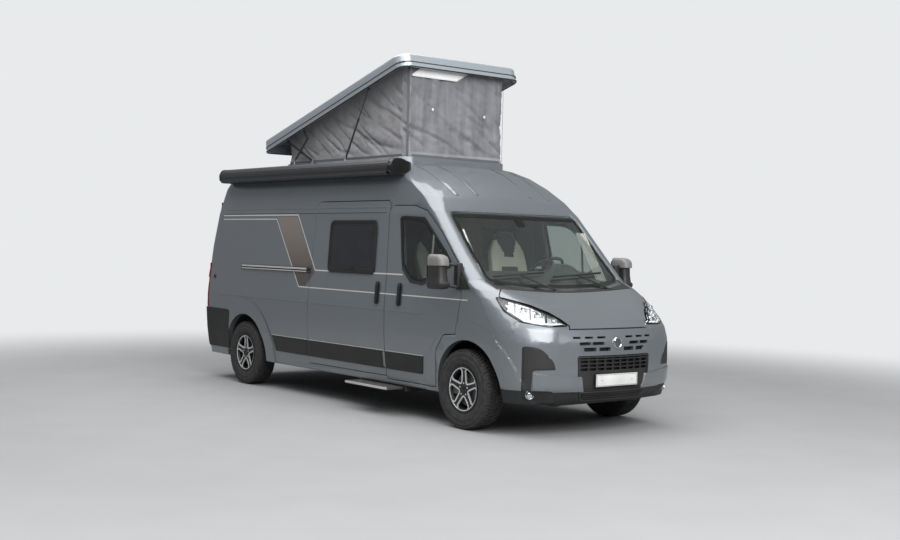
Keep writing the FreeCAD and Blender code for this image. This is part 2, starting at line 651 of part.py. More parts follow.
def make_knuckle():
    """Left hub carrier with its strut, brake disc and hub flange."""
    y = FRONT_TRACK / 2
    face = y + HUB_FACE_OUT - 0.5
    axle = V(fx(0), 0, AXLE_Z)
    low = V(fx(0), *KINGPIN_LOW)
    high = V(fx(0), *KINGPIN_HIGH)
    up = (high - low).normalize()
    carrier = cylinder(62, axle + V(0, 735, 0), axle + V(0, face - 60, 0))
    carrier = carrier.fuse(cylinder(75, axle + V(0, face - 12, 0), axle + V(0, face, 0)))
    carrier = carrier.fuse(cylinder(38, axle + V(0, face - 70, 0), axle + V(0, face - 5, 0)))
    disc = cylinder(150, axle + V(0, face - 48, 0), axle + V(0, face - 22, 0))
    caliper = box(fx(-172), fx(-95), face - 75, face + 0, AXLE_Z - 55, AXLE_Z + 60).cut(
        cylinder(96, axle, axle + V(0, face + 10, 0)))
    bracket = box(fx(-130), fx(-40), 790, face - 60, AXLE_Z - 30, AXLE_Z + 30)
    ball = cylinder(22, low - up * 6, low + up * 70)
    strut_low = V(fx(0), high.y + 10, AXLE_Z + 35)
    strut = cylinder(30, strut_low, high - up * 20)
    spring = cylinder(42, strut_low + V(0, 0, 150), high - up * 20)
    shape = carrier
    for piece in (disc, caliper, bracket, ball, strut, spring):
        shape = shape.fuse(piece)
    return shape


def make_rear_axle():
    half = REAR_TRACK / 2
    face = half + HUB_FACE_OUT - 0.5
    centre = V(REAR_AXLE_X, 0, AXLE_Z)
    axle = cylinder(32, centre - V(0, 800, 0), centre + V(0, 800, 0))
    for hand in (1, -1):
        out = V(0, hand, 0)
        axle = axle.fuse(cylinder(60, centre + out * 760, centre + out * (face - 55)))
        axle = axle.fuse(cylinder(150, centre + out * (face - 60), centre + out * (face - 25)))
        axle = axle.fuse(cylinder(75, centre + out * (face - 30), centre + out * face))
        y = hand * (RAIL_Y + RAIL_WIDTH / 2)
        top = Part.Arc(V(REAR_AXLE_X - 690, y - 35, RAIL_Z - SEAM), V(REAR_AXLE_X, y - 35, AXLE_Z - 30),
                       V(REAR_AXLE_X + 690, y - 35, RAIL_Z - SEAM)).toShape()
        under = Part.Arc(V(REAR_AXLE_X + 690, y - 35, RAIL_Z - 26), V(REAR_AXLE_X, y - 35, AXLE_Z - 66),
                         V(REAR_AXLE_X - 690, y - 35, RAIL_Z - 26)).toShape()
        fore, aft = REAR_AXLE_X + 690, REAR_AXLE_X - 690
        ends = [Part.makeLine(V(fore, y - 35, RAIL_Z - SEAM), V(fore, y - 35, RAIL_Z - 26)),
                Part.makeLine(V(aft, y - 35, RAIL_Z - 26), V(aft, y - 35, RAIL_Z - SEAM))]
        leaf = Part.Face(Part.Wire([top, ends[0], under, ends[1]])).extrude(V(0, 70, 0))
        clamp = box(REAR_AXLE_X - 60, REAR_AXLE_X + 60, y - 40, y + 40, AXLE_Z - 74, AXLE_Z + 10)
        axle = axle.fuse(leaf).fuse(clamp)
    return axle


def make_exhaust():
    pipe = cylinder(27, V(fx(160), 230, 290), V(fx(-3050), 230, 290))
    silencer = cylinder(85, V(fx(-2000), 230, 330), V(fx(-2600), 230, 330))
    solid = pipe.fuse(silencer)
    for ahead in (-2060, -2540):
        solid = solid.fuse(box(fx(ahead) - 12, fx(ahead) + 12, 215, 245, 330, FLOOR_Z - SEAM))
    return solid


def make_tank():
    tank = box(fx(-1380), fx(-420), -330, 150, 265, FLOOR_Z - SEAM)
    return tank.makeFillet(35, [e for e in tank.Edges if e.BoundBox.ZMax < 300])


STEP_X = (-1697.0, -985.0)
STEP_OUT = 1150.0
STEP_HOUSING_Z, STEP_THICK = 284.0, 24.0


def make_step_housing():
    x0, x1 = fx(STEP_X[0] - 45), fx(STEP_X[1] + 45)
    solid = box(x0, x1, -940, -420, STEP_HOUSING_Z, SILL_Z - SEAM)
    for a in (x0, x1 - 20):
        solid = solid.fuse(box(a, a + 20, -940, -420, STEP_HOUSING_Z - 44, STEP_HOUSING_Z + 6))
    return solid


def make_step():
    top = STEP_HOUSING_Z - RUN_GAP
    tread = box(fx(STEP_X[0]), fx(STEP_X[1]), -STEP_OUT, -700, top - STEP_THICK, top)
    corners = [e for e in tread.Edges if abs(e.BoundBox.YMax + STEP_OUT) < 1 and e.BoundBox.ZLength > 20]
    return tread.makeFillet(14, corners)


# -------------------------------------------------------------------- wheels
def revolved(profile, y_centre, x):
    """A wheel piece from (radius, offset from its middle) points."""
    pts = [V(x, y_centre + out, AXLE_Z + r) for r, out in profile]
    wire = Part.makePolygon(pts + [pts[0]])
    return Part.Face(wire).revolve(V(x, y_centre, AXLE_Z), V(0, 1, 0), 360)


def make_tyre(x, y):
    h, r = TYRE_WIDTH / 2, TYRE_RADIUS
    bead = RIM_RADIUS + 1.0
    profile = [(bead, -h + 22), (bead + 18, -h + 14), (bead + 70, -h), (r - 45, -h + 3), (r - 12, -h + 14),
               (r, -h + 30), (r, h - 30), (r - 12, h - 14), (r - 45, h - 3), (bead + 70, h), (bead + 18, h - 14),
               (bead, h - 22)]
    return revolved(profile, y, x)


RIM_SPOKES = 5


def make_rim(x, y):
    """A left alloy wheel: barrel, hub and five pairs of spokes."""
    h = TYRE_WIDTH / 2 - 20
    flange = RIM_RADIUS + 10
    barrel = revolved([(RIM_RADIUS, -h), (flange, -h - 4), (flange, -h - 12), (RIM_RADIUS - 16, -h - 12),
                       (RIM_RADIUS - 22, -h + 20), (RIM_RADIUS - 22, h - 10), (RIM_RADIUS - 14, h + 8),
                       (RIM_RADIUS + 10, h + 12), (RIM_RADIUS + 10, h + 4), (RIM_RADIUS, h)], y, x)
    face = y + HUB_FACE_OUT
    hub = cylinder(78, V(x, face, AXLE_Z), V(x, face + 28, AXLE_Z))
    rim = barrel.fuse(hub)
    for i in range(RIM_SPOKES):
        for lean in (-1, 1):
            root, tip = (22, 60), (60, RIM_RADIUS - 14)
            outline = [(lean * (root[0] - 14), root[1]), (lean * (root[0] + 12), root[1]),
                       (lean * (tip[0] + 12), tip[1] - 4), (lean * (tip[0] - 12), tip[1])]
            pts = [V(x + a, face + 4, AXLE_Z + b) for a, b in outline]
            spoke = Part.Face(Part.makePolygon(pts + [pts[0]])).extrude(V(0, 22, 0))
            spoke.rotate(V(x, y, AXLE_Z), V(0, 1, 0), i * 360.0 / RIM_SPOKES)
            rim = rim.fuse(spoke)
    return rim.removeSplitter()


# ------------------------------------------------------------------- cab
def make_dashboard():
    profile = [(96, 1188, 0), (96, 700, 0), (-60, 720, 40), (-230, 830, 60), (-330, 1010, 40),
               (-300, 1110, 40), (-80, 1170, 60)]
    dash = side_prism(profile, -930, 930).common(body_form(WALL + DOOR_CLEAR)).cut(make_bulkhead_space())
    open_foot = side_prism([(-40, 690, 0), (60, 690, 0), (60, 1000, 0), (-40, 1000, 0)], -890, 890)
    dash = dash.cut(side_prism(profile, -890, 890, -24).fuse(open_foot))
    hood = side_prism([(-60, 1100, 0), (-60, 1192, 30), (-190, 1205, 20), (-290, 1150, 20), (-300, 1090, 0)], 220, 620)
    return solid_of(dash.fuse(hood))


def make_bulkhead_space():
    cut = box(fx(-500), fx(200), HOUSING_FRONT_Y - SEAM, FAR, 0, HOUSING_TOP + SEAM)
    return cut.fuse(other_side(cut))


WHEEL_CENTRE = (-470.0, 430.0, 1075.0)
COLUMN_ANGLE = 42.0        # degrees above the horizontal


def make_steering_wheel():
    centre = V(fx(WHEEL_CENTRE[0]), WHEEL_CENTRE[1], WHEEL_CENTRE[2])
    lean = math.radians(COLUMN_ANGLE)
    axis = V(-math.cos(lean), 0, math.sin(lean))
    ring = Part.makeTorus(190, 15, centre, axis)
    hub = cylinder(55, centre - axis * 35, centre + axis * 5)
    column = cylinder(28, centre - axis * 330, centre - axis * 30)
    solid = ring.fuse(hub).fuse(column)
    across = V(0, 1, 0)
    for direction in (across, across * -1, axis.cross(across)):
        solid = solid.fuse(cylinder(11, centre - axis * 12 + direction * 40, centre + direction * 185))
    return solid_of(solid.cut(make_dashboard()))


SEAT_Y, SEAT_WIDTH = 430.0, 480.0


def make_seats():
    profile = [(-470, FLOOR_TOP + 0.4, 0), (-470, 780, 0), (-395, 780, 20), (-395, 905, 45),
               (-880, 880, 60), (-1010, 1360, 0),
               (-1050, 1620, 30), (-1130, 1620, 30), (-1120, 1380, 0), (-1020, 850, 40), (-900, 780, 0),
               (-900, FLOOR_TOP + 0.4, 0)]
    seats = []
    for hand in (1, -1):
        y = hand * SEAT_Y
        seat = side_prism(profile, y - SEAT_WIDTH / 2, y + SEAT_WIDTH / 2)
        for part_side in (1, -1):
            edge = y + part_side * SEAT_WIDTH / 2
            notch = box(fx(-1300), fx(-900), edge - 110, edge + 110, 1420, 1700)
            seat = seat.cut(notch)
        seats.append(seat)
    return Part.makeCompound(seats)


FURNITURE_WALL = 18.0


def cabinet(x0, x1, y0, y1, z0, z1):
    """A hollow box of board, open underneath, given from the front axle."""
    w = FURNITURE_WALL
    inside = box(fx(x0) + w, fx(x1) - w, y0 + w, y1 - w, z0 - 1, z1 - w)
    return box(fx(x0), fx(x1), y0, y1, z0, z1).cut(inside)


def make_furniture():
    base = FLOOR_TOP + 0.4
    side = CABIN.BoundBox.YMax - 40
    kitchen = cabinet(-2780, -1800, -side, -430, base, 1380)
    bench_back = box(fx(-1900), fx(-1830), 150, side, base, 1480)
    bench = cabinet(-1830, -1350, 150, side, base, 960).fuse(bench_back)
    washroom = cabinet(-2950, -2060, 130, side, base, 2200)
    bed_front = box(fx(-3040), fx(-2990), -side, side, base, 980)
    bed = box(fx(-4780), fx(-2990), -side, side, 960, 1100).fuse(bed_front)
    housing = housing_cut(REAR_ARCH, HOUSING_REAR_Y, 2.0)
    solids = []
    for piece in (kitchen, bench, washroom, bed):
        solids.append(solid_of(piece.common(CABIN).cut(housing).cut(other_side(housing))))
    return Part.makeCompound(solids)


# ----------------------------------------------------------- outside pieces
AWNING_X = (-4687.0, -1170.0)


def make_awning():
    profile = [(-780, 2372, 0), (-780, 2470, 0), (-900, 2506, 30), (-1000, 2500, 40), (-1036, 2440, 40),
               (-1030, 2372, 20), (-990, 2345, 10), (-860, 2345, 0)]
    case = prism(profile, "X", fx(AWNING_X[0]), fx(AWNING_X[1]))
    return solid_of(case.cut(body_form(-SEAM)))


def make_slide_rail():
    band = side_prism([(-4138, 1334, 15), (-2642, 1334, 15), (-2642, 1393, 15), (-4138, 1393, 15)], -FAR, -620)
    return solid_of(body_form(-TRIM).common(band).cut(body_form(-SEAM)))


def make_rear_bumper():
    skin = body_form(-TRIM).cut(body_form(-SEAM))
    corner = skin.common(side_prism(REAR_TRIM, 700, FAR)).common(
        box(TAIL_X - 60, LENGTH, HALF_WIDTH - REAR_DOOR_INSET + DOOR_GAP, FAR, 0, 2000))
    low_skin = skin.common(box(TAIL_X - 60, TAIL_X + 90, -FAR, FAR, 385, REAR_DOOR_Z[0] - 12))
    step = box(TAIL_X - REAR_BUMPER_DEPTH, TAIL_X - 2, -880, 880, 395, REAR_DOOR_Z[0] - 25)
    return solid_of(corner.fuse(other_side(corner)).fuse(low_skin).fuse(step))


MIRROR_OUT = 1254.0


def make_mirror():
    x0, x1 = fx(-262), fx(-120)
    case = box(x0, x1, 1105, MIRROR_OUT, 1275, 1580)
    case = case.makeFillet(28, case.Edges)
    arm = side_prism([(-215, 1480, 0), (-150, 1480, 0), (-150, 1508, 0), (-215, 1508, 0)], 985, 1140)
    low_arm = side_prism([(-225, 1300, 0), (-110, 1300, 0), (-110, 1335, 0), (-225, 1335, 0)], 985, 1140)
    sail = side_prism([(-300, 1262, 10), (-50, 1262, 20), (-140, 1500, 20), (-235, 1520, 20)], 700, FAR)
    base = body_form(-12).common(sail)
    keep_off = body_form(-SEAM)
    return solid_of(case.fuse(arm).fuse(low_arm).fuse(base).cut(keep_off))


WIPER_PIVOT = (262.0, 1275.0)
GLASS_UP = V(-616, 0, 640).normalize()
GLASS_OUT = V(640, 0, 616).normalize()


def make_wipers():
    """Two parked wipers lying along the foot of the windscreen."""
    foot = V(fx(120), 0, 1345)
    wipers = []
    for start_y, end_y in ((-760, -110), (-20, 640)):
        low = foot + GLASS_UP * 40 + GLASS_OUT * 22
        blade = cylinder(9, low + V(0, start_y, 0), low + GLASS_UP * 55 + V(0, end_y, 0))
        pivot = V(fx(WIPER_PIVOT[0]), end_y - 40, WIPER_PIVOT[1])
        arm = cylinder(8, pivot, low + V(0, (start_y + end_y) / 2, 0) + GLASS_UP * 27)
        stem = cylinder(12, pivot - V(25, 0, 60), pivot + V(5, 0, 12))
        wipers.append(solid_of(blade.fuse(arm).fuse(stem).cut(body_form(-SEAM))))
    return Part.makeCompound(wipers)


# -------------------------------------------------------------- pop-up roof
ROOF_OPEN = 15.7           # degrees between the closed roof and the open one
POLE = (-4614.0, 2550.0)   # virtual pivot of the rear scissor linkage, x and z
SHELL_X = (-4042.0, -1222.0)
SHELL_HALF = 785.0
SHELL_RIM_Z, SHELL_TOP_Z = 2536.0, 2672.0
SHELL_SHEET = 30.0
TENT_X = (-3750.0, -1428.0)
TENT_HALF = 655.0
TENT_WALL = 8.0
LINK = 6.0                 # thickness of a flat link
LINK_WIDTH = 26.0
LUG = 6.0
PIN_GAP = 0.3
TUBE_R, ROD_R, EYE_R = 10.0, 4.0, 11.0
EYE = 22.0                 # width of a gas strut's end eye
# lower or fixed pivot, far end (x, z), y of its inner face
ARM_A = ((-3129.0, 2580.0), (-3658.0, 2816.0), 712.0)
ARM_B = ((-3470.0, 2576.0), (-3192.0, 2825.0), 724.0)
ARM_C = ((-3271.0, 2919.0), (-3192.0, 2825.0), 736.0)
STRUT = ((-2416.0, 2570.0), (-2014.0, 3279.0), 728.0)
# x, z and inner face y of the roof's lugs beside the lower pins
ROOF_PIVOTS = [
    (ARM_A[0][0], ARM_A[0][1], ARM_A[2] - LUG - PIN_GAP),
    (ARM_B[0][0], ARM_B[0][1], ARM_B[2] + LINK + PIN_GAP),
    (STRUT[0][0], STRUT[0][1], STRUT[2] + EYE / 2 + PIN_GAP),
]


def opened(shape):
    """A piece of the closed roof, swung to the open position."""
    shape = shape.copy()
    shape.rotate(V(fx(POLE[0]), 0, POLE[1]), V(0, 1, 0), -ROOF_OPEN)
    return shape


def tent_foot(grow, low, high):
    x0, x1 = fx(TENT_X[0]) - grow, fx(TENT_X[1]) + grow
    y = TENT_HALF + grow
    r = 90 + max(grow, -60)
    return prism([(x0, -y, r), (x1, -y, r), (x1, y, r), (x0, y, r)], "Z", low, high)


def shell_plan(inset, low, high):
    x0, x1 = fx(SHELL_X[0]) + inset, fx(SHELL_X[1]) - inset
    y = SHELL_HALF - inset
    rear_round, front_round = 90 - inset, 130 - inset
    corners = [(x0, -y, rear_round), (x1, -y, front_round), (x1, y, front_round), (x0, y, rear_round)]
    return prism(corners, "Z", low, high)


def make_pop_roof():
    hollow = shell_plan(SHELL_SHEET, SHELL_RIM_Z - 5, SHELL_TOP_Z - SHELL_SHEET)
    tray = shell_plan(0, SHELL_RIM_Z, SHELL_TOP_Z).cut(hollow)
    top_edges = [e for e in tray.Edges if e.BoundBox.ZMin > SHELL_TOP_Z - 1]
    tray = opened(tray.makeFillet(22, top_edges))
    rim_y = SHELL_HALF - SHELL_SHEET
    for (x, z), y in ((ARM_A[1], ARM_A[2] + LINK), (ARM_C[0], ARM_C[2] + LINK), (STRUT[1], STRUT[2] + EYE / 2)):
        boss = cylinder(8, V(fx(x), y + PIN_GAP, z), V(fx(x), rim_y + 1, z))
        tray = tray.fuse(boss).fuse(other_side(boss))
    return solid_of(tray)


def under_open_shell(gap):
    """Space below the open roof's ceiling."""
    block = box(fx(-6000), fx(0), -FAR, FAR, -FAR, SHELL_TOP_Z - SHELL_SHEET - gap)
    return opened(block)


def make_tent():
    wall = tent_foot(0, COAMING_Z + 0.6, 3600).cut(tent_foot(-TENT_WALL, COAMING_Z, 3700))
    return solid_of(wall.common(under_open_shell(0.6)))


def link(pivot, tip, y):
    """A flat bar with round ends between two pins, on the left."""
    start, end = V(fx(pivot[0]), y, pivot[1]), V(fx(tip[0]), y, tip[1])
    run = end - start
    bar = Part.makeBox(run.Length, LINK, LINK_WIDTH, V(0, 0, -LINK_WIDTH / 2))
    bar.rotate(V(0, 0, 0), V(0, 1, 0), -math.degrees(math.atan2(run.z, run.x)))
    bar.translate(start)
    for point in (start, end):
        bar = bar.fuse(cylinder(LINK_WIDTH / 2, point, point + V(0, LINK, 0)))
    return bar


def pair(shape):
    return Part.makeCompound([shape, other_side(shape)])


def make_strut(part_of):
    """The gas strut's tube, or the rod that slides out of it."""
    pivot, tip, y = STRUT
    start, end = V(fx(pivot[0]), y, pivot[1]), V(fx(tip[0]), y, tip[1])
    along = (end - start).normalize()
    tube_end = start + along * 470
    half = V(0, EYE / 2, 0)
    if part_of == "tube":
        tube = cylinder(TUBE_R, start + along * 5, tube_end).fuse(cylinder(EYE_R, start - half, start + half))
        return tube.cut(cylinder(ROD_R + RUN_GAP, start + along * 60, tube_end + along * 5))
    rod = cylinder(ROD_R, start + along * 400, end - along * 5)
    neck = cylinder(6, end - along * 30, end - along * 3)
    return rod.fuse(cylinder(EYE_R, end - half, end + half)).fuse(neck)


# -------------------------------------------------------------------- export
def write(name, shape):
    count = len(shape.Solids)
    valid = shape.isValid()
    report = (name, count, len(shape.Faces), shape.Volume / 1e6, "" if valid else "INVALID")
    print("%-22s solids %2d faces %4d volume %9.4f l %s" % report)
    shape.exportStep("parts/%s.step" % name)


def main():
    os.makedirs("parts", exist_ok=True)
    cab_door = panel_for(left(CAB_DOOR)).cut(window_hole(left(CAB_WINDOW)))
    door_pane = pane_for(left(CAB_WINDOW))
    sliding = panel_for(left(SLIDING_DOOR)).cut(window_hole(left(SIDE_WINDOW))).cut(
        side_prism(CAB_DOOR, 600, FAR, DOOR_GAP))
    wing = make_wing()
    side_pane = solid_of(pane_for(left(SIDE_WINDOW)))
    windows = {"left": [SIDE_WINDOW], "right": []}
    doors = {"left": [CAB_DOOR], "right": [CAB_DOOR, SLIDING_DOOR]}
    write("body_side_left", make_side(windows["left"], doors["left"]))
    write("body_side_right", other_side(make_side(windows["right"], doors["right"])))
    write("roof_panel", make_roof())
    write("floor_pan", make_floor())
    write("front_wings", pair(wing))
    bumper, skirt, grille = make_front_panels()
    write("front_bumper", bumper)
    write("bumper_skirt", skirt)
    write("grille", grille)
    write("headlamps", make_headlamps())
    write("scuttle", make_scuttle())
    write("bulkhead", make_bulkhead())
    write("windscreen", solid_of(pane_for(front(WINDSCREEN))))
    write("side_windows", pair(side_pane))
    write("sliding_door", other_side(solid_of(sliding)))
    write("slide_rail", make_slide_rail())
    write("rear_bumper", make_rear_bumper())
    write("tail_lamps", make_tail_lamps())
    write("awning_case", make_awning())
    write("wipers", make_wipers())
    write("dashboard", make_dashboard())
    write("steering_wheel", make_steering_wheel())
    write("cab_seats", make_seats())
    write("camper_furniture", make_furniture())
    write("wheel_housings", make_housings())
    write("chassis_rails", make_rails())
    write("front_subframe", make_subframe())
    write("engine_block", make_engine())
    write("rear_axle", make_rear_axle())
    write("exhaust", make_exhaust())
    write("fuel_tank", make_tank())
    write("step_housing", make_step_housing())
    write("entry_step", make_step())
    write("bonnet", make_bonnet())
    write("cab_door_left", solid_of(cab_door))
    write("cab_door_right", other_side(solid_of(cab_door)))
    write("door_glass_left", solid_of(door_pane))
    write("door_glass_right", other_side(solid_of(door_pane)))
    mirror = make_mirror()
    write("mirror_left", mirror)
    write("mirror_right", other_side(mirror))
    door_panel = panel_for(rear(rear_door_outline(DOOR_GAP / 2)))
    rear_door = solid_of(door_panel.cut(window_hole(rear(REAR_WINDOW))))
    rear_pane = solid_of(pane_for(rear(REAR_WINDOW)))
    write("rear_door_left", rear_door)
    write("rear_door_right", other_side(rear_door))
    write("rear_glass_left", rear_pane)
    write("rear_glass_right", other_side(rear_pane))
    knuckle = make_knuckle()
    write("knuckle_left", knuckle)
    write("knuckle_right", other_side(knuckle))
    for name, x, track in (("front", fx(0), FRONT_TRACK), ("rear", REAR_AXLE_X, REAR_TRACK)):
        tyre, rim = make_tyre(x, track / 2), make_rim(x, track / 2)
        write("tyre_%s_left" % name, tyre)
        write("tyre_%s_right" % name, other_side(tyre))
        write("rim_%s_left" % name, rim)
        write("rim_%s_right" % name, other_side(rim))
    write("pop_roof", make_pop_roof())
    write("roof_tent", make_tent())
    write("roof_arm_long", pair(link(*ARM_A)))
    write("roof_arm_low", pair(link(*ARM_B)))
    write("roof_arm_high", pair(link(*ARM_C)))
    write("gas_strut_tubes", pair(make_strut("tube")))
    write("gas_strut_rods", pair(make_strut("rod")))


main()
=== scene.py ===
import json
import math

import bmesh
import bpy
import numpy as np
from mathutils import Matrix, Vector, noise
from mathutils.bvhtree import BVHTree
from mathutils.geometry import delaunay_2d_cdt


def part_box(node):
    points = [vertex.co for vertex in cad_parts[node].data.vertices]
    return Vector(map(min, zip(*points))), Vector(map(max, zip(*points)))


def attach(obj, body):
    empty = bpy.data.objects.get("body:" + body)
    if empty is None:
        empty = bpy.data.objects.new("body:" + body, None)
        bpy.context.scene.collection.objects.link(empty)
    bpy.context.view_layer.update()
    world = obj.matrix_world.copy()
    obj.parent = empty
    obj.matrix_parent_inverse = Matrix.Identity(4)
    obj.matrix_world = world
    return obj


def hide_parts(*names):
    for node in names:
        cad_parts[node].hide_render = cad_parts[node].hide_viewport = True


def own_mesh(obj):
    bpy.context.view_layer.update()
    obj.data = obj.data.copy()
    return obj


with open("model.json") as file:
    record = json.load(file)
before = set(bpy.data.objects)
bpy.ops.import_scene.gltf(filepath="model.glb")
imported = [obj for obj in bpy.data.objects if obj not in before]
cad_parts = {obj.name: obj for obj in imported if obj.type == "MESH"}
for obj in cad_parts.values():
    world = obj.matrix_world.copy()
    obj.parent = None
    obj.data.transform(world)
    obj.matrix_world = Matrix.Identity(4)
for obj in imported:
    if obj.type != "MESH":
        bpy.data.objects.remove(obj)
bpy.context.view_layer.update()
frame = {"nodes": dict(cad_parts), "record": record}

bl_info = {
    "name": "Camper van looks",
    "version": (1, 0, 0),
    "blender": (4, 5, 0),
    "location": "3D View > Sidebar > Camper van",
    "description": "Paint, glass, wheels, trim, tent and cabin of a pop-up roof camper van",
    "category": "Object",
}

NODES = frame["nodes"]
BODY_OF = {n: b for b, names in frame["record"]["behaviour"]["bodies"].items() for n in names}
SLOT_OF = {s["node"]: s["material_slot"] for s in frame["record"]["subparts"]}
SIDES = ((1, "left"), (-1, "right"))

# The van's main places, in metres.
FRONT_AXLE_X = 2.051
REAR_AXLE_X = -1.984
AXLE_Z = 0.365
ROOF_PIVOT = (-2.563, 2.55)
ROOF_OPEN = math.radians(15.7)
DIAGONAL = math.sqrt(0.5)


def rgb(red, green, blue):
    """A colour written as 0 to 255 screen values."""
    def one(v):
        v = v / 255.0
        return v / 12.92 if v <= 0.04045 else ((v + 0.055) / 1.055) ** 2.4
    return (one(red), one(green), one(blue), 1.0)


PAINT_DUST, PLASTIC_DUST, METAL_DUST = rgb(120, 112, 100), rgb(105, 99, 90), rgb(112, 104, 94)
STRIPE_WHITE, BAND_LOW, BAND_HIGH = rgb(236, 233, 228), rgb(92, 83, 80), rgb(150, 140, 131)
SKIRT_BLACK, TYRE_DARK, TYRE_PALE = rgb(30, 31, 32), rgb(38, 38, 39), rgb(60, 59, 58)
FLOOR_DARK, FLOOR_PALE = rgb(148, 149, 150), rgb(156, 157, 158)


def fx(ahead):
    """A place's x from its distance ahead of the front axle."""
    return FRONT_AXLE_X + ahead


def shaded(colour, share, more=0.0):
    """A colour made lighter or darker by a share, with a little more added."""
    return tuple(min(1.0, c * share + more) for c in colour[:3]) + (1.0,)


# ------------------------------------------------------------------ node trees
GROUPS = {}
MATERIALS = {}


def feed(tree, node, values):
    """Links or sets a node's inputs, given by name or number."""
    for key, value in values.items():
        if isinstance(value, bpy.types.NodeSocket):
            tree.links.new(value, node.inputs[key])
        else:
            node.inputs[key].default_value = value
    return node


def add(tree, kind, inputs=None, **settings):
    """A new node with its settings and inputs."""
    node = tree.nodes.new(kind)
    for key, value in settings.items():
        setattr(node, key, value)
    return feed(tree, node, inputs or {})


def calc(tree, operation, a, b=0.0, clamp=False):
    """The result of a sum on two values."""
    return add(tree, "ShaderNodeMath", {0: a, 1: b}, operation=operation, use_clamp=clamp).outputs[0]


def times(tree, a, b):
    return calc(tree, "MULTIPLY", a, b)


def plus(tree, a, b):
    return calc(tree, "ADD", a, b)


def minus(tree, a, b):
    return calc(tree, "SUBTRACT", a, b)


def smooth(tree, value, low, high):
    """0 below low and 1 above high, eased between them."""
    node = add(tree, "ShaderNodeMapRange", {"Value": value, "From Min": low, "From Max": high},
        interpolation_type="SMOOTHSTEP")
    return node.outputs["Result"]


def mixed(tree, factor, a, b):
    """Two colours blended by a factor."""
    return add(tree, "ShaderNodeMix", {0: factor, 6: a, 7: b}, data_type="RGBA").outputs[2]


def mixed_value(tree, a, b, share):
    """Two values blended by a fixed share of the second."""
    return plus(tree, times(tree, a, 1 - share), times(tree, b, share))


def object_place(tree):
    """A point's place on its piece, in the van's own frame."""
    return add(tree, "ShaderNodeTexCoord").outputs["Object"]


def mottle(tree, place, scale, detail, **more):
    """Cloudy noise from 0 to 1."""
    values = {"Vector": place, "Scale": scale, "Detail": detail, **more}
    return add(tree, "ShaderNodeTexNoise", values).outputs["Fac"]


def new_group(name, inputs, outputs):
    """A shader node group with named float inputs (name, default) and outputs."""
    tree = bpy.data.node_groups.new(name, "ShaderNodeTree")
    for label, default in inputs:
        socket = tree.interface.new_socket(label, in_out="INPUT", socket_type="NodeSocketFloat")
        socket.default_value = default
    for label in outputs:
        tree.interface.new_socket(label, in_out="OUTPUT", socket_type="NodeSocketFloat")
    return tree, tree.nodes.new("NodeGroupInput").outputs, tree.nodes.new("NodeGroupOutput")


def road_dust():
    """More dust near the ground, as a mask."""
    tree, given, out = new_group("Road dust", [("Top", 0.9), ("Amount", 0.35)], ["Mask"])
    place = object_place(tree)
    z = add(tree, "ShaderNodeSeparateXYZ", {0: place}).outputs["Z"]
    fall = calc(tree, "DIVIDE", z, given["Top"], clamp=True)
    height = calc(tree, "SUBTRACT", 1.0, fall, clamp=True)
    patchy = times(tree, height, smooth(tree, mottle(tree, place, 3.0, 6.0), 0.25, 0.75))
    feed(tree, out, {"Mask": times(tree, patchy, given["Amount"])})
    return tree


def fine_grain():
    """Moulded plastic's grain as a height."""
    tree, given, out = new_group("Moulded grain", [("Scale", 900.0)], ["Height", "Tone"])
    place = object_place(tree)
    cells = add(tree, "ShaderNodeTexVoronoi", {"Vector": place, "Scale": given["Scale"]})
    feed(tree, out, {"Height": cells.outputs["Distance"], "Tone": mottle(tree, place, 7.0, 4.0)})
    return tree


def cloth_weave():
    """Crossing threads from two waves, with slubs."""
    tree, given, out = new_group("Cloth weave", [("Threads per metre", 900.0)], ["Height", "Thread"])
    place = object_place(tree)
    parts = add(tree, "ShaderNodeSeparateXYZ", {0: place}).outputs
    count = given["Threads per metre"]
    warp = calc(tree, "SINE", times(tree, plus(tree, parts["X"], parts["Y"]), count))
    weft = calc(tree, "SINE", times(tree, parts["Z"], count))
    feed(tree, out, {"Height": times(tree, warp, weft), "Thread": mottle(tree, place, 45.0, 5.0)})
    return tree


def group(tree, name, **inputs):
    """One of the shared effects, placed in a material with its own values."""
    node = tree.nodes.new("ShaderNodeGroup")
    node.node_tree = GROUPS[name]
    return feed(tree, node, {key.replace("_", " "): value for key, value in inputs.items()}).outputs




def begin(name):
    """A new material's tree and its main shader."""
    material = MATERIALS[name] = bpy.data.materials.new(name)
    material.use_nodes = True
    return material.node_tree, material.node_tree.nodes["Principled BSDF"]


def bump(tree, shader, height, strength, distance):
    """Gives a shader a fine relief from a height."""
    values = {"Height": height, "Strength": strength, "Distance": distance}
    feed(tree, shader, {"Normal": add(tree, "ShaderNodeBump", values).outputs["Normal"]})


def along_and_beside(tree, x, z, start, end):
    """How far a point lies along and beside the line between two places, and the line's length."""
    (ax, az), (bx, bz) = [(fx(ahead), height) for ahead, height in (start, end)]
    length = math.hypot(bx - ax, bz - az)
    ux, uz = (bx - ax) / length, (bz - az) / length
    rx, rz = minus(tree, x, ax), minus(tree, z, az)
    along = plus(tree, times(tree, rx, ux), times(tree, rz, uz))
    return along, minus(tree, times(tree, rx, uz), times(tree, rz, ux)), length


# Stripe runs along the side, as (ahead of the front axle, height) in metres.
OUTER_STRIPE = [(-4.707, 1.957), (-3.001, 1.957), (-2.547, 1.365), (-0.97, 1.37)]
INNER_STRIPE = [(-4.7, 1.912), (-3.451, 1.912), (-2.852, 1.177), (0.05, 1.172)]
STRIPE_HALVES = ((OUTER_STRIPE, 0.0055), (INNER_STRIPE, 0.0045))
STRIPE_SOFT = 0.0015
BAND = [(-3.435, 1.935), (-3.02, 1.935), (-2.555, 1.34), (-2.72, 1.19), (-2.86, 1.19)]


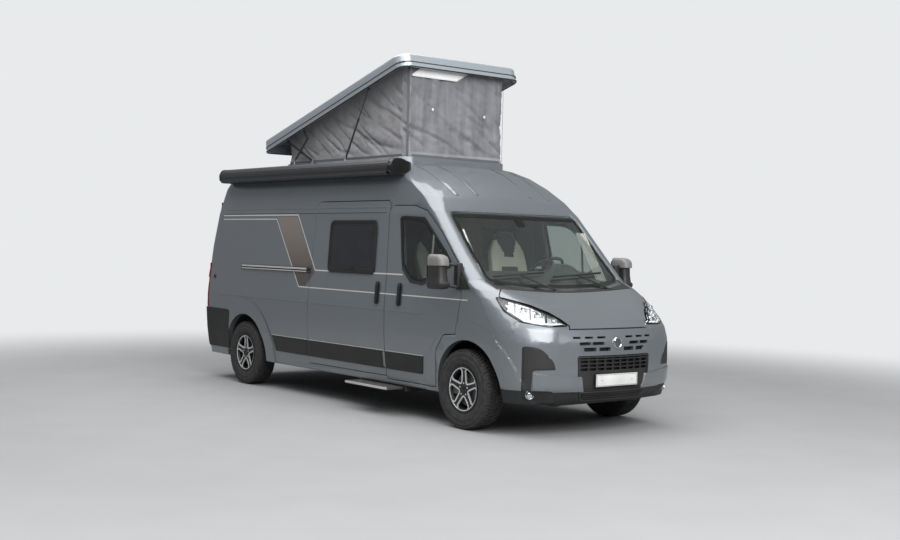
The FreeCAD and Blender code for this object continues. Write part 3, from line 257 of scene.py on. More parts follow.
def stripe_masks():
    """Pinstripes and the broad slanting band on both sides, from x and z."""
    tree, _, out = new_group("Side stripes", [], ["Line", "Band", "Shade"])
    parts = add(tree, "ShaderNodeSeparateXYZ", {0: object_place(tree)}).outputs
    x, z = parts["X"], parts["Z"]
    flank = smooth(tree, calc(tree, "ABSOLUTE", parts["Y"]), 0.8, 0.82)
    total = None
    for run, half in STRIPE_HALVES:
        for a, b in zip(run, run[1:]):
            along, aside, length = along_and_beside(tree, x, z, a, b)
            near = smooth(tree, calc(tree, "ABSOLUTE", aside), half + STRIPE_SOFT, half)
            ends = times(tree, smooth(tree, along, -STRIPE_SOFT, 0.0), smooth(tree, along, length + STRIPE_SOFT,
                length))
            mask = times(tree, near, ends)
            total = mask if total is None else calc(tree, "MAXIMUM", total, mask)
    band = 1.0
    for a, b in zip(BAND, BAND[1:] + BAND[:1]):
        band = times(tree, band, smooth(tree, along_and_beside(tree, x, z, a, b)[1], -0.001, 0.001))
    feed(tree, out, {"Line": times(tree, total, flank), "Band": times(tree, band, flank),
        "Shade": smooth(tree, z, 1.15, 1.95)})
    return tree


def paint_material(name, colour, striped=False, flake=0.06):
    """Clear-coated metallic paint with a little flake, dust and orange peel."""
    tree, shader = begin(name)
    dust = group(tree, "Road dust", Amount=0.3, Top=1.0)["Mask"]
    place = object_place(tree)
    flakes = add(tree, "ShaderNodeTexVoronoi", {"Vector": place, "Scale": 2600.0}).outputs["Color"]
    tone = add(tree, "ShaderNodeSeparateColor", {0: flakes}).outputs[0]
    base = mixed(tree, tone, shaded(colour, 1 - 2.0 * flake), shaded(colour, 1 + 2.2 * flake))
    if striped:
        marks = group(tree, "Side stripes")
        taupe = mixed(tree, marks["Shade"], BAND_LOW, BAND_HIGH)
        base = mixed(tree, marks["Band"], base, taupe)
        base = mixed(tree, marks["Line"], base, STRIPE_WHITE)
    feed(tree, shader, {"Base Color": mixed(tree, dust, base, PAINT_DUST),
        "Roughness": plus(tree, 0.33, times(tree, dust, 0.8)), "Metallic": 0.5, "Coat Weight": 0.8,
        "Coat Roughness": 0.04})
    bump(tree, shader, mottle(tree, place, 220.0, 2.0), 0.02, 0.0006)


def skirt_material(name, colour):
    """Bare black skirt whose cheeks, either side of the middle, are painted."""
    tree, shader = begin(name)
    parts = add(tree, "ShaderNodeSeparateXYZ", {0: object_place(tree)}).outputs
    across, z = calc(tree, "ABSOLUTE", parts["Y"]), parts["Z"]
    inner = smooth(tree, plus(tree, across, times(tree, z, -0.25)), 0.3, 0.304)
    outer = smooth(tree, plus(tree, across, times(tree, z, -0.55)), 0.452, 0.448)
    mask = times(tree, times(tree, inner, outer), smooth(tree, z, 0.402, 0.406))
    feed(tree, shader, {"Base Color": mixed(tree, mask, SKIRT_BLACK, colour),
        "Roughness": minus(tree, 0.58, times(tree, mask, 0.24)), "Coat Weight": times(tree, mask, 0.8),
        "Coat Roughness": 0.04, "Metallic": times(tree, mask, 0.5)})
    grain = group(tree, "Moulded grain", Scale=900.0)["Height"]
    bump(tree, shader, times(tree, grain, minus(tree, 1.0, mask)), 0.25, 0.0004)


def plastic_material(name, colour, rough=0.55, grain=900.0, strength=0.25, dusty=0.4):
    """Moulded plastic with fine grain, a tone that varies and road dust."""
    tree, shader = begin(name)
    surface = group(tree, "Moulded grain", Scale=grain)
    dust = group(tree, "Road dust", Amount=dusty, Top=0.9)["Mask"]
    base = mixed(tree, surface["Tone"], colour, shaded(colour, 1.5, 0.004))
    feed(tree, shader, {"Base Color": mixed(tree, dust, base, PLASTIC_DUST),
        "Roughness": plus(tree, rough, times(tree, surface["Tone"], 0.12))})
    bump(tree, shader, surface["Height"], strength, 0.0004)


def metal_material(name, colour, rough=0.3, brushed=0.0, metallic=1.0, dusty=0.2):
    """Metal with drawn lines along it and a little dust."""
    tree, shader = begin(name)
    values = {"Vector": object_place(tree), "Scale": (6.0, 260.0, 260.0)}
    lines = mottle(tree, add(tree, "ShaderNodeMapping", values).outputs[0], 4.0, 4.0)
    dust = group(tree, "Road dust", Amount=dusty, Top=0.8)["Mask"]
    base = mixed(tree, lines, shaded(colour, 0.82), colour)
    feed(tree, shader, {"Base Color": mixed(tree, dust, base, METAL_DUST), "Metallic": metallic,
        "Roughness": plus(tree, rough, times(tree, lines, 0.14))})
    if brushed:
        bump(tree, shader, lines, brushed, 0.0003)


def glass_material(name, tint):
    """Tinted glass with faint smears."""
    tree, shader = begin(name)
    smear = mottle(tree, object_place(tree), 5.0, 5.0)
    feed(tree, shader, {"Roughness": times(tree, smear, 0.02), "Base Color": tint, "Transmission Weight": 1.0,
        "IOR": 1.45})


def cloth_material(name, colour, threads=1400.0):
    """Woven seat or blind cloth."""
    tree, shader = begin(name)
    weave = group(tree, "Cloth weave", Threads_per_metre=threads)
    base = mixed(tree, weave["Thread"], shaded(colour, 0.88), shaded(colour, 1.12))
    feed(tree, shader, {"Base Color": base, "Sheen Weight": 0.25, "Roughness": plus(tree, 0.79,
        times(tree, weave["Thread"], 0.12))})
    bump(tree, shader, weave["Height"], 0.3, 0.0004)


def tent_material(name, colour, clear):
    """Coated tent cloth: fine weave, faint upright streaks, damp marks and creased sheen."""
    tree, shader = begin(name)
    weave = group(tree, "Cloth weave", Threads_per_metre=1500.0)
    place = object_place(tree)
    tall = add(tree, "ShaderNodeMapping", {"Vector": place, "Scale": (9.0, 9.0, 0.9)}).outputs[0]
    streak, cloud = mottle(tree, tall, 1.6, 5.0), mottle(tree, place, 2.6, 6.0)
    dark = shaded(colour, 0.86 - 0.1 * clear)
    marks = smooth(tree, mixed_value(tree, cloud, streak, 0.35 + 0.4 * clear), 0.34, 0.66)
    base = mixed(tree, marks, dark, shaded(colour, 1.16))
    base = mixed(tree, times(tree, weave["Thread"], 0.35), base, dark)
    feed(tree, shader, {"Base Color": base, "Sheen Weight": 0.15, "Roughness": plus(tree, 0.62 - 0.2 * clear,
        times(tree, cloud, 0.25))})
    wrinkle = mottle(tree, place, 14.0, 7.0, Distortion=0.8)
    height = plus(tree, times(tree, wrinkle, 1.4), times(tree, weave["Height"], 0.1))
    bump(tree, shader, height, 0.3, 0.004)


def rubber_material(name):
    """Dull rubber, greyed in patches."""
    tree, shader = begin(name)
    place = object_place(tree)
    patches = mottle(tree, place, 26.0, 8.0)
    base = mixed(tree, smooth(tree, patches, 0.3, 0.8), TYRE_DARK, TYRE_PALE)
    feed(tree, shader, {"Base Color": base, "Roughness": plus(tree, 0.72, times(tree, patches, 0.2))})
    bump(tree, shader, mottle(tree, place, 600.0, 3.0), 0.25, 0.0006)


# ------------------------------------------------------------------ mesh help
def new_object(name, data):
    """A new object in the scene, at the origin."""
    obj = bpy.data.objects.new(name, data)
    bpy.context.scene.collection.objects.link(obj)
    return obj


def settle(obj, body, slot, *replaced):
    """The calls that every finished piece gets."""
    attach(obj, body)
    if replaced:
        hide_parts(*replaced)
    return obj


def soften(mesh, angle):
    """Smooth shading, with edges sharper than an angle left sharp."""
    mesh.polygons.foreach_set("use_smooth", [True] * len(mesh.polygons))
    mesh.set_sharp_from_angle(angle=math.radians(angle))
    mesh.update()
    return mesh


def mesh_of(bm, name, angle=40.0):
    """A finished mesh from a bmesh, which is freed."""
    mesh = bpy.data.meshes.new(name)
    bm.to_mesh(mesh)
    bm.free()
    return soften(mesh, angle)


def paint(obj, *materials):
    """Gives a piece its materials; its faces keep the material numbers that they had."""
    numbers = [face.material_index for face in obj.data.polygons]
    obj.data.materials.clear()
    for name in materials:
        obj.data.materials.append(MATERIALS[name])
    obj.data.polygons.foreach_set("material_index", numbers)
    return obj


def put(obj, place, turn=None):
    """Moves a piece's mesh to its place, turned first where a turn is given."""
    obj.data.transform(Matrix.Translation(place) @ (turn or Matrix.Identity(4)))
    return obj


def turned(degrees):
    """A turn about the Y axis."""
    return Matrix.Rotation(math.radians(degrees), 4, "Y")


def facing(aim):
    """The turn that points a piece's X at a direction."""
    return Vector(aim).normalized().to_track_quat("X", "Z").to_matrix().to_4x4()


def edged(obj, width, segments=2, angle=50.0):
    """Rounds a piece's sharp edges."""
    modifier = obj.modifiers.new("Edge", "BEVEL")
    modifier.width, modifier.segments = width, segments
    modifier.limit_method, modifier.angle_limit = "ANGLE", math.radians(angle)
    return obj


def thickened(obj, thickness):
    """Gives a sheet its thickness, half to each side."""
    modifier = obj.modifiers.new("Thickness", "SOLIDIFY")
    modifier.thickness, modifier.offset = thickness, 0.0
    return obj


def smoothed(node, material):
    """A smooth-shaded copy of a CAD node, its triangles joined up, which it replaces."""
    name = node + "_skin"
    bm = bmesh.new()
    bm.from_mesh(NODES[node].data)
    bmesh.ops.remove_doubles(bm, verts=bm.verts, dist=2e-5)
    bmesh.ops.dissolve_degenerate(bm, edges=bm.edges, dist=1e-6)
    obj = paint(new_object(name, mesh_of(bm, name, 32.0)), material)
    obj.modifiers.new("Weighted normals", "WEIGHTED_NORMAL").keep_sharp = True
    return settle(obj, BODY_OF[node], SLOT_OF[node], node)


TREES = {}


def tree_of(*nodes):
    """A search tree over the surfaces of some CAD nodes."""
    if nodes not in TREES:
        points, faces = [], []
        for name in nodes:
            data = NODES[name].data
            base = len(points)
            points += [v.co.copy() for v in data.vertices]
            faces += [[base + i for i in p.vertices] for p in data.polygons]
        TREES[nodes] = BVHTree.FromPolygons(points, faces)
    return TREES[nodes]


def hit(tree, start, along):
    """Where a ray meets a surface, or None."""
    return tree.ray_cast(Vector(start), Vector(along))[0]


# ------------------------------------------------------------------ plates on curved skins
def oblong(a, b, low, high):
    """The corners of an upright rectangle."""
    return [(a, low), (b, low), (b, high), (a, high)]


def inside(point, loop):
    """True where a point is within a closed outline."""
    x, y = point
    result = False
    for (ax, ay), (bx, by) in zip(loop, loop[1:] + loop[:1]):
        if (ay > y) != (by > y) and x < (bx - ax) * (y - ay) / (by - ay) + ax:
            result = not result
    return result


def rounded(points, radius, steps=6):
    """A closed outline with its corners rounded; radius is one number or one per corner."""
    radii = radius if isinstance(radius, (list, tuple)) else [radius] * len(points)
    result = []
    for i, (corner, r) in enumerate(zip(points, radii)):
        corner = Vector(corner)
        before, after = Vector(points[i - 1]), Vector(points[(i + 1) % len(points)])
        if r <= 0:
            result.append(tuple(corner))
            continue
        a, b = (before - corner), (after - corner)
        cut = min(r, a.length * 0.45, b.length * 0.45)
        a, b = corner + a.normalized() * cut, corner + b.normalized() * cut
        for k in range(steps + 1):
            t = k / steps
            result.append(tuple(a * (1 - t) ** 2 + corner * 2 * t * (1 - t) + b * t * t))
    return result


def divided(loop, step):
    """An outline with no edge longer than step."""
    result = []
    for a, b in zip(loop, loop[1:] + loop[:1]):
        a, b = Vector(a), Vector(b)
        count = max(1, math.ceil((b - a).length / step))
        result += [tuple(a.lerp(b, k / count)) for k in range(count)]
    return result


def filled(outline, holes=(), step=0.04):
    """Points and triangles that fill an outline around its holes."""
    loops = [divided(list(loop), step) for loop in (outline, *holes)]
    points, edges = [], []
    for loop in loops:
        base = len(points)
        points += [Vector(p) for p in loop]
        edges += [(base + i, base + (i + 1) % len(loop)) for i in range(len(loop))]

    def kept(p):
        """True on the plate itself: within its outline and outside its holes."""
        return inside(p, list(outline)) and not any(inside(p, list(h)) for h in holes)
    xs, ys = [p[0] for p in outline], [p[1] for p in outline]
    grid = np.mgrid[min(xs) + step / 2:max(xs):step, min(ys) + step / 2:max(ys):step]
    points += [Vector((float(x), float(y))) for x, y in grid.reshape(2, -1).T if kept((x, y))]
    verts, _, faces, *_ = delaunay_2d_cdt(points, edges, [], 1, 1e-6)
    return verts, [f for f in faces if kept(sum((verts[i] for i in f), Vector((0, 0))) / len(f))]


def looked_at(tree, start, out, along=None):
    """Places an outline point where a ray from start(point), against out, meets a skin."""
    along = along or tuple(-c for c in out)
    return lambda p: (hit(tree, start(p), along), Vector(out))


def on_side(hand, *nodes):
    """Places a (x, z) point on a side of the van."""
    return looked_at(tree_of(*nodes), lambda p: (p[0], hand * 1.6, p[1]), (0, hand, 0))


def on_end(way, *nodes):
    """Places a (y, z) point on the nose (way 1) or the tail (way -1)."""
    return looked_at(tree_of(*nodes), lambda p: (way * 3.6, p[0], p[1]), (way, 0, 0))


def on_corner(hand, *nodes):
    """Places a (along, z) point on a front corner, looking along its diagonal."""
    def start(p):
        return (FRONT_AXLE_X + DIAGONAL * (1.6 - p[0]), hand * DIAGONAL * (1.6 + p[0]), p[1])
    return looked_at(tree_of(*nodes), start, (DIAGONAL, hand * DIAGONAL, 0))


def across_x(x, way):
    """Places a (y, z) point on the upright plane at x, facing ahead (1) or back (-1)."""
    return lambda p: (Vector((x, p[0], p[1])), Vector((way, 0, 0)))


def draped(name, outline, place, thick, lift=0.0, holes=(), step=0.04, bevel=0.0):
    """A plate that follows the skin under an outline, thick outwards from lift above it."""
    verts, faces = filled(outline, holes, step)
    bm = bmesh.new()
    found = [place(p) for p in verts]
    made = [bm.verts.new(p + out * (lift + thick)) if p is not None else None for p, out in found]
    # a point off the skin's edge goes on level from the nearest one that is on it
    for i in [i for i, v in enumerate(made) if v is None]:
        near = min((j for j, v in enumerate(made) if v is not None), key=lambda j: (verts[j] - verts[i]).length)
        shift = verts[i] - verts[near]
        side = Vector((1, 0, 0)) if abs(found[near][1].y) > 0.9 else Vector((0, 1, 0))
        made[i] = bm.verts.new(made[near].co + side * shift[0] + Vector((0, 0, 1)) * shift[1])
    out = found[0][1] if found[0][0] is not None else Vector((0, 0, 1))
    tops = []
    for face in faces:
        corner = [made[i] for i in face]
        normal = (corner[1].co - corner[0].co).cross(corner[2].co - corner[0].co)
        tops.append(bm.faces.new(corner if normal.dot(out) > 0 else corner[::-1]))
    bmesh.ops.extrude_face_region(bm, geom=tops)
    for v in made:
        v.co -= out * thick
    bmesh.ops.recalc_face_normals(bm, faces=bm.faces)
    obj = new_object(name, mesh_of(bm, name))
    return edged(obj, bevel) if bevel else obj


def plate(material, outline, place, thick, lift=0.0, **shape):
    """A draped plate in its finish."""
    return paint(draped("plate", outline, place, thick, lift, **shape), material)


def shrunk(loop, distance):
    """An outline drawn in by a distance, or grown where it is negative."""
    area = sum(a[0] * b[1] - b[0] * a[1] for a, b in zip(loop, loop[1:] + loop[:1]))
    turn = 1.0 if area > 0 else -1.0
    result = []
    for i, p in enumerate(loop):
        along = Vector(loop[(i + 1) % len(loop)]) - Vector(loop[i - 1])
        if along.length < 1e-9:
            continue
        along.normalize()
        result.append((p[0] - turn * along.y * distance, p[1] + turn * along.x * distance))
    return result


def frame_of(material, loop, outer, inner, place, thick, lift=0.0, **shape):
    """A flat frame along an outline, from outer to inner within it."""
    return plate(material, shrunk(loop, outer), place, thick, lift, holes=[shrunk(loop, inner)], **shape)


# ------------------------------------------------------------------ solid shapes
def finish(name, parts, body, slot, *replaced):
    """Joins the parts of a piece, puts it on its body and hides the nodes that it replaces; the slot is not
    used.
    """
    return settle(joined(name, parts), body, slot, *replaced)


def joined(name, objects):
    """Several finished meshes as one object, modifiers applied, materials kept."""
    graph = bpy.context.evaluated_depsgraph_get()
    slots, bm = [], bmesh.new()
    for obj in objects:
        mesh = bpy.data.meshes.new_from_object(obj.evaluated_get(graph))
        slots += [m for m in mesh.materials if m not in slots]
        shift = [slots.index(m) for m in mesh.materials]
        first = len(bm.faces)
        bm.from_mesh(mesh)
        bm.faces.ensure_lookup_table()
        for face in bm.faces[first:]:
            face.material_index = shift[face.material_index]
    mesh = bpy.data.meshes.new(name)
    bm.to_mesh(mesh)
    bm.free()
    for obj in objects:
        bpy.data.objects.remove(obj)
    mesh.set_sharp_from_angle(angle=math.radians(40))
    for m in slots:
        mesh.materials.append(m)
    return new_object(name, mesh)


def lofted(name, rings, angle=40.0, loop=False, ends=False, weld=False, mark=None):
    """A skin over rings of points; mark gives a face its material number."""
    bm = bmesh.new()
    made = [[bm.verts.new(p) for p in ring] for ring in rings]
    for i, (a, b) in enumerate(zip(made, made[1:] + (made[:1] if loop else []))):
        for k in range(len(a)):
            m = (k + 1) % len(a)
            face = bm.faces.new((a[k], a[m], b[m], b[k]))
            if mark:
                face.material_index = mark(i, face)
    if ends:
        bm.faces.new(made[0][::-1])
        bm.faces.new(made[-1]).material_index = int(mark is not None)
    if weld:
        bmesh.ops.remove_doubles(bm, verts=bm.verts, dist=1e-6)
    bmesh.ops.recalc_face_normals(bm, faces=bm.faces)
    return new_object(name, mesh_of(bm, name, angle))


def revolved(name, profile, centre=(0, 0, 0), axis="Y", steps=96, close=False):
    """A turned shape: profile is (radius, along) pairs, turned round an axis through centre."""
    rings = []
    for radius, along in profile:
        turns = [2 * math.pi * k / steps for k in range(steps)]
        if axis == "Y":
            ring = [(radius * math.sin(a), along, radius * math.cos(a)) for a in turns]
        else:
            ring = [(along, radius * math.cos(a), radius * math.sin(a)) for a in turns]
        rings.append([Vector(p) + Vector(centre) for p in ring])
    return lofted(name, rings, 35, loop=close, weld=True)


def slab(name, low, high, bevel=0.004, segments=3):
    """A block with rounded edges."""
    bm = bmesh.new()
    bmesh.ops.create_cube(bm, size=1.0)
    size = Vector(high) - Vector(low)
    middle = (Vector(high) + Vector(low)) / 2
    for v in bm.verts:
        v.co = v.co * size + middle
    bmesh.ops.bevel(bm, geom=bm.edges[:], offset=min(bevel, min(size) * 0.45), segments=segments,
        affect="EDGES", profile=0.5)
    return new_object(name, mesh_of(bm, name))


def tube(name, points, radius, steps=12, order=4, closed=False):
    """A round bar along a smooth line."""
    curve = bpy.data.curves.new(name, "CURVE")
    curve.dimensions = "3D"
    spline = curve.splines.new("NURBS")
    spline.points.add(len(points) - 1)
    for p, q in zip(spline.points, points):
        p.co = (*q, 1.0)
    spline.use_endpoint_u, spline.use_cyclic_u = not closed, closed
    spline.order_u = min(order, len(points))
    curve.bevel_depth, curve.bevel_resolution, curve.use_fill_caps = radius, steps // 4, True
    return new_object(name, soften(as_mesh(new_object(name, curve)), 50))


def as_mesh(obj):
    """A piece's final mesh; the piece itself is removed."""
    graph = bpy.context.evaluated_depsgraph_get()
    mesh = bpy.data.meshes.new_from_object(obj.evaluated_get(graph))
    bpy.data.objects.remove(obj)
    return mesh


def bar(name, loop, x0, x1, bevel=0.0):
    """A straight length of a (y, z) section along X."""
    obj = lofted(name, [[(x, y, z) for y, z in loop] for x in (x0, x1)], 30, ends=True)
    return edged(obj, bevel, 3, 60.0) if bevel else obj


# ------------------------------------------------------------------ geometry nodes
def copies_tree(name, polar):
    """Copies of a piece round the Y axis, or along a straight row."""
    tree = bpy.data.node_groups.new(name, "GeometryNodeTree")
    inputs = [("Geometry", "Geometry"), ("Count", "Int"), ("Step", "Vector"), ("Material", "Material")]
    for label, kind in inputs:
        tree.interface.new_socket(label, in_out="INPUT", socket_type="NodeSocket" + kind)
    tree.interface.new_socket("Geometry", in_out="OUTPUT", socket_type="NodeSocketGeometry")
    given, out = tree.nodes.new("NodeGroupInput").outputs, tree.nodes.new("NodeGroupOutput")
    place = add(tree, "GeometryNodePoints", {"Count": given["Count"]}).outputs[0]
    index = add(tree, "GeometryNodeInputIndex").outputs[0]
    instances = {"Instance": given["Geometry"]}
    if polar:
        angle = calc(tree, "DIVIDE", times(tree, index, 2 * math.pi), given["Count"])
        instances["Rotation"] = add(tree, "ShaderNodeCombineXYZ", {"Y": angle}).outputs[0]
    else:
        along = add(tree, "ShaderNodeVectorMath", {0: given["Step"], "Scale": index}, operation="SCALE")
        values = {"Geometry": place, "Position": along.outputs[0]}
        place = add(tree, "GeometryNodeSetPosition", values).outputs[0]
    many = add(tree, "GeometryNodeInstanceOnPoints", {**instances, "Points": place})
    real = add(tree, "GeometryNodeRealizeInstances", {"Geometry": many.outputs[0]})
    done = {"Geometry": real.outputs[0], "Material": given["Material"]}
    feed(tree, out, {0: add(tree, "GeometryNodeSetMaterial", done).outputs[0]})
    return tree


def repeated(obj, count, material, step=None):
    """The piece copied count times: round the Y axis, or by a step along a row."""
    name = "Ring of copies" if step is None else "Row of copies"
    tree = bpy.data.node_groups.get(name) or copies_tree(name, step is None)
    modifier = obj.modifiers.new(name, "NODES")
    modifier.node_group = tree
    sockets = {s.name: s.identifier for s in tree.interface.items_tree if s.in_out == "INPUT"}
    modifier[sockets["Count"]] = count
    modifier[sockets["Material"]] = MATERIALS[material]
    if step is not None:
        modifier[sockets["Step"]] = step
    obj.update_tag()
    name, mesh = obj.name, as_mesh(obj)
    mesh.materials.clear()
    mesh.materials.append(MATERIALS[material])
    return new_object(name, mesh)


# ------------------------------------------------------------------ wheels
WINDOW = rounded([(0.0, 0.058), (-0.077, 0.152), (-0.07, 0.172), (-0.036, 0.1835), (0.036, 0.1835),
    (0.07, 0.172), (0.077, 0.152)], [0.024, 0.016, 0.004, 0.03, 0.03, 0.004, 0.016], 5)
SPOKES = 5
RIM_FACE_LOW, RIM_FACE_HIGH = 0.068, 0.0925
# Turned sections of the rim, as (radius, along the axle) in metres.
BARREL = [(0.205, -0.0925), (0.2145, -0.0965), (0.2145, -0.104), (0.189, -0.104), (0.183, -0.072), (0.18, 0.06),
    (0.184, 0.086), (0.19, 0.094), (0.194, 0.0945), (0.1935, 0.09), (0.205, 0.09)]
LIP = [(0.197, 0.094), (0.198, 0.1), (0.203, 0.103), (0.208, 0.1035), (0.2145, 0.103), (0.2145, 0.097),
    (0.205, 0.093)]
SHINE = [(0.188, 0.0925), (0.1885, 0.0965), (0.1955, 0.099), (0.1985, 0.0975), (0.1985, 0.0925)]
CAP = [(0.0, 0.093), (0.016, 0.0925), (0.027, 0.0905), (0.031, 0.0865), (0.031, 0.075), (0.0, 0.075)]
CAP_RING = [(0.031, 0.082), (0.031, 0.09), (0.033, 0.0905), (0.0345, 0.089), (0.0345, 0.082)]
BOLT = [(0.0, 0.091), (0.0065, 0.091), (0.0085, 0.0895), (0.0085, 0.083), (0.012, 0.081), (0.012, 0.076),
    (0.0, 0.076)]
VALVE = [(0.0, 0.1), (0.0035, 0.1), (0.0035, 0.078), (0.006, 0.07), (0.0, 0.07)]


def dished(r):
    """How far the rim's face sinks at a radius."""
    return 0.01 * max(0.0, 1 - ((r - 0.11) / 0.085) ** 2) - 0.004 * min(1.0, r / 0.19)


def rim_parts():
    """A left rim at the origin, facing +Y."""
    parts = [paint(revolved("rim", section, close=True, steps=120), material) for section,
        material in ((BARREL, "alloy_black"), (LIP, "alloy_black"), (SHINE, "alloy_bright"))]
    turns = [2 * math.pi * k / 90 for k in range(90)]
    circle = [(0.187 * math.sin(a), 0.187 * math.cos(a)) for a in turns]
    holes = []
    for k in range(SPOKES):
        angle = math.pi + 2 * math.pi * k / SPOKES
        c, s = math.cos(angle), math.sin(angle)
        holes.append([(x * c + z * s, z * c - x * s) for x, z in WINDOW])
    face = plate("alloy_black", circle, lambda p: (Vector((p[0], RIM_FACE_LOW, p[1])), Vector((0, 1, 0))),
        RIM_FACE_HIGH - RIM_FACE_LOW, holes=holes, step=0.03, bevel=0.002)
    for v in face.data.vertices:
        if v.co.y > 0.08:
            v.co.y -= dished(math.hypot(v.co.x, v.co.z))
    # a bright raised border follows each opening, open at its outer end
    edge = [p for p in WINDOW if p[1] < 0.1735]
    start = max(range(len(edge)), key=lambda i: math.dist(edge[i], edge[i - 1]))
    edge = edge[start:] + edge[:start]
    rings = []
    for i, (x, z) in enumerate(edge):
        a, b = Vector(edge[max(i - 1, 0)]), Vector(edge[min(i + 1, len(edge) - 1)])
        along = (b - a).normalized()
        out = Vector((-along.y, along.x))
        if out.dot(Vector((x, z)) - Vector((0, 0.13))) < 0:
            out = -out
        top = 0.0945 - dished(math.hypot(x, z))
        near, far = Vector((x, z)) - out * 0.0015, Vector((x, z)) + out * 0.0115
        rings.append([(near.x, top - 0.012, near.y), (near.x, top, near.y), (far.x, top - 0.0008, far.y),
            (far.x, top - 0.012, far.y)])
    border = put(lofted("border", rings, ends=True), (0, 0, 0), turned(180))
    parts += [face, repeated(border, SPOKES, "alloy_bright")]
    parts.append(paint(revolved("cap", CAP, steps=48), "gloss_black"))
    parts.append(paint(revolved("ring", CAP_RING, close=True, steps=48), "alloy_bright"))
    bolt = put(revolved("bolt", BOLT, steps=6), (0, 0, 0.0545))
    valve = put(revolved("valve", VALVE, steps=12), (0.055, 0, 0.172))
    return parts + [repeated(bolt, SPOKES, "alloy_bright"), paint(valve, "plastic_black")]


# Half of the tyre's section, as (radius, from the middle), bead to tread.
TYRE_HALF = [(0.206, 0.0905), (0.213, 0.0945), (0.218, 0.0985), (0.222, 0.099), (0.2235, 0.1005),
    (0.23, 0.1025), (0.2315, 0.104), (0.236, 0.105), (0.255, 0.1095), (0.2745, 0.1118), (0.276, 0.1125),
    (0.2785, 0.1125), (0.28, 0.1116), (0.3, 0.1108), (0.32, 0.109), (0.3215, 0.1098), (0.324, 0.1096),
    (0.3255, 0.1082), (0.338, 0.105), (0.348, 0.1), (0.3545, 0.092), (0.3565, 0.082)]
# Rows of tread blocks: from, to across the tyre, shift and slant as shares of the pitch.
TREAD = [(-0.1045, -0.064, 0.0, 0.3), (-0.058, -0.022, 0.5, 0.3), (-0.016, 0.016, 0.2, -0.25),
    (0.022, 0.058, 0.7, 0.3), (0.064, 0.1045, 0.3, 0.3)]
BLOCK_FROM, BLOCK_TO = 0.04, 0.7


def tyre_parts(blocks):
    """A tyre at the origin: carcass with its rings, and a ring of tread blocks."""
    profile = [(r, -y) for r, y in TYRE_HALF] + [(r, y) for r, y in TYRE_HALF[::-1]]
    carcass = revolved("carcass", profile, close=True, steps=128)
    bm = bmesh.new()
    pitch = 2 * math.pi / blocks
    for low, high, shift, slant in TREAD:
        corners = []
        for y in (low, (low + high) / 2, high):
            lean = slant * (y - low) / (high - low)
            drop = max(0.0, abs(y) - 0.083) * 0.62
            for a in (BLOCK_FROM, BLOCK_TO):
                angle = (a + shift + lean) * pitch
                corners.append([bm.verts.new((r * math.sin(angle), y,
                    r * math.cos(angle))) for r in (0.352 - drop * 1.3, 0.3645 - drop)])
        quads = [(0, 1, 3, 2), (2, 3, 5, 4)]
        for q in quads:
            bm.faces.new([corners[i][1] for i in q])
        for a, b in ((0, 1), (1, 3), (3, 5), (5, 4), (4, 2), (2, 0)):
            bm.faces.new((corners[a][0], corners[b][0], corners[b][1], corners[a][1]))
        for q in quads:
            bm.faces.new([corners[i][0] for i in q[::-1]])
    bmesh.ops.recalc_face_normals(bm, faces=bm.faces)
    return [paint(carcass, "rubber"), repeated(new_object("tread", mesh_of(bm, "tread", 25)), blocks, "rubber")]


def mirrored(obj):
    """Turns a left piece into a right one."""
    obj.data.transform(Matrix.Diagonal((1, -1, 1, 1)))
    obj.data.flip_normals()
    obj.data.update()
    return obj


class CAMPER_OT_wheels(bpy.types.Operator):
    """Model the four alloy rims and treaded tyres"""
    bl_idname = "camper.wheels"
    bl_label = "Wheels"

    def execute(self, context):
        tyre = joined("tyre_master", tyre_parts(context.scene.camper_looks.tread_blocks))
        rim = joined("rim_master", rim_parts())
        for end, x in (("front", FRONT_AXLE_X), ("rear", REAR_AXLE_X)):
            for hand, side in SIDES:
                name = end + "_" + side
                low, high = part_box("tyre_" + name)
                for master, piece, slot in ((tyre, "tyre", "tyre_rubber"), (rim, "rim", "wheel_alloy")):
                    obj = new_object(piece + "_" + name + "_detailed", master.data.copy())
                    put(obj, (x, abs((low.y + high.y) / 2), AXLE_Z))
                    if hand < 0:
                        mirrored(obj)
                    settle(obj, "wheel_" + name, slot, piece + "_" + name)
        bpy.data.objects.remove(tyre)
        bpy.data.objects.remove(rim)
        return {"FINISHED"}


# ------------------------------------------------------------------ front end
HEADLAMP = [(-0.236, 0.975), (-0.16, 1.03), (-0.05, 1.088), (0.12, 1.15), (0.3, 1.193), (0.428, 1.222),
    (0.34, 1.095), (0.176, 1.005), (-0.06, 0.972)]
HEADLAMP_ROUND = [0.008, 0.06, 0.12, 0.2, 0.0, 0.01, 0.06, 0.06, 0.0]
REFLECTORS = ((-0.105, 1.02, 0.033), (0.035, 1.052, 0.043), (0.165, 1.092, 0.045))
# Sections of a reflector and its bulb, in shares of the reflector's radius and in metres.
DISH = [(1, 0.0), (0.97, -0.006), (0.86, -0.018), (0.6, -0.03), (0.45, -0.033), (0.42, -0.02), (0.34, -0.012),
    (0.0, -0.008)]
BULB = [(0.0, 0.002), (0.2, 0.0), (0.32, -0.006), (0.34, -0.012), (0.0, -0.012)]
LIGHT_STRIP = [(-0.19, 0.992), (-0.06, 0.986), (0.15, 1.014), (0.255, 1.075), (0.33, 1.15), (0.312, 1.152),
    (0.235, 1.086), (0.14, 1.03), (-0.06, 1.0), (-0.19, 1.004)]


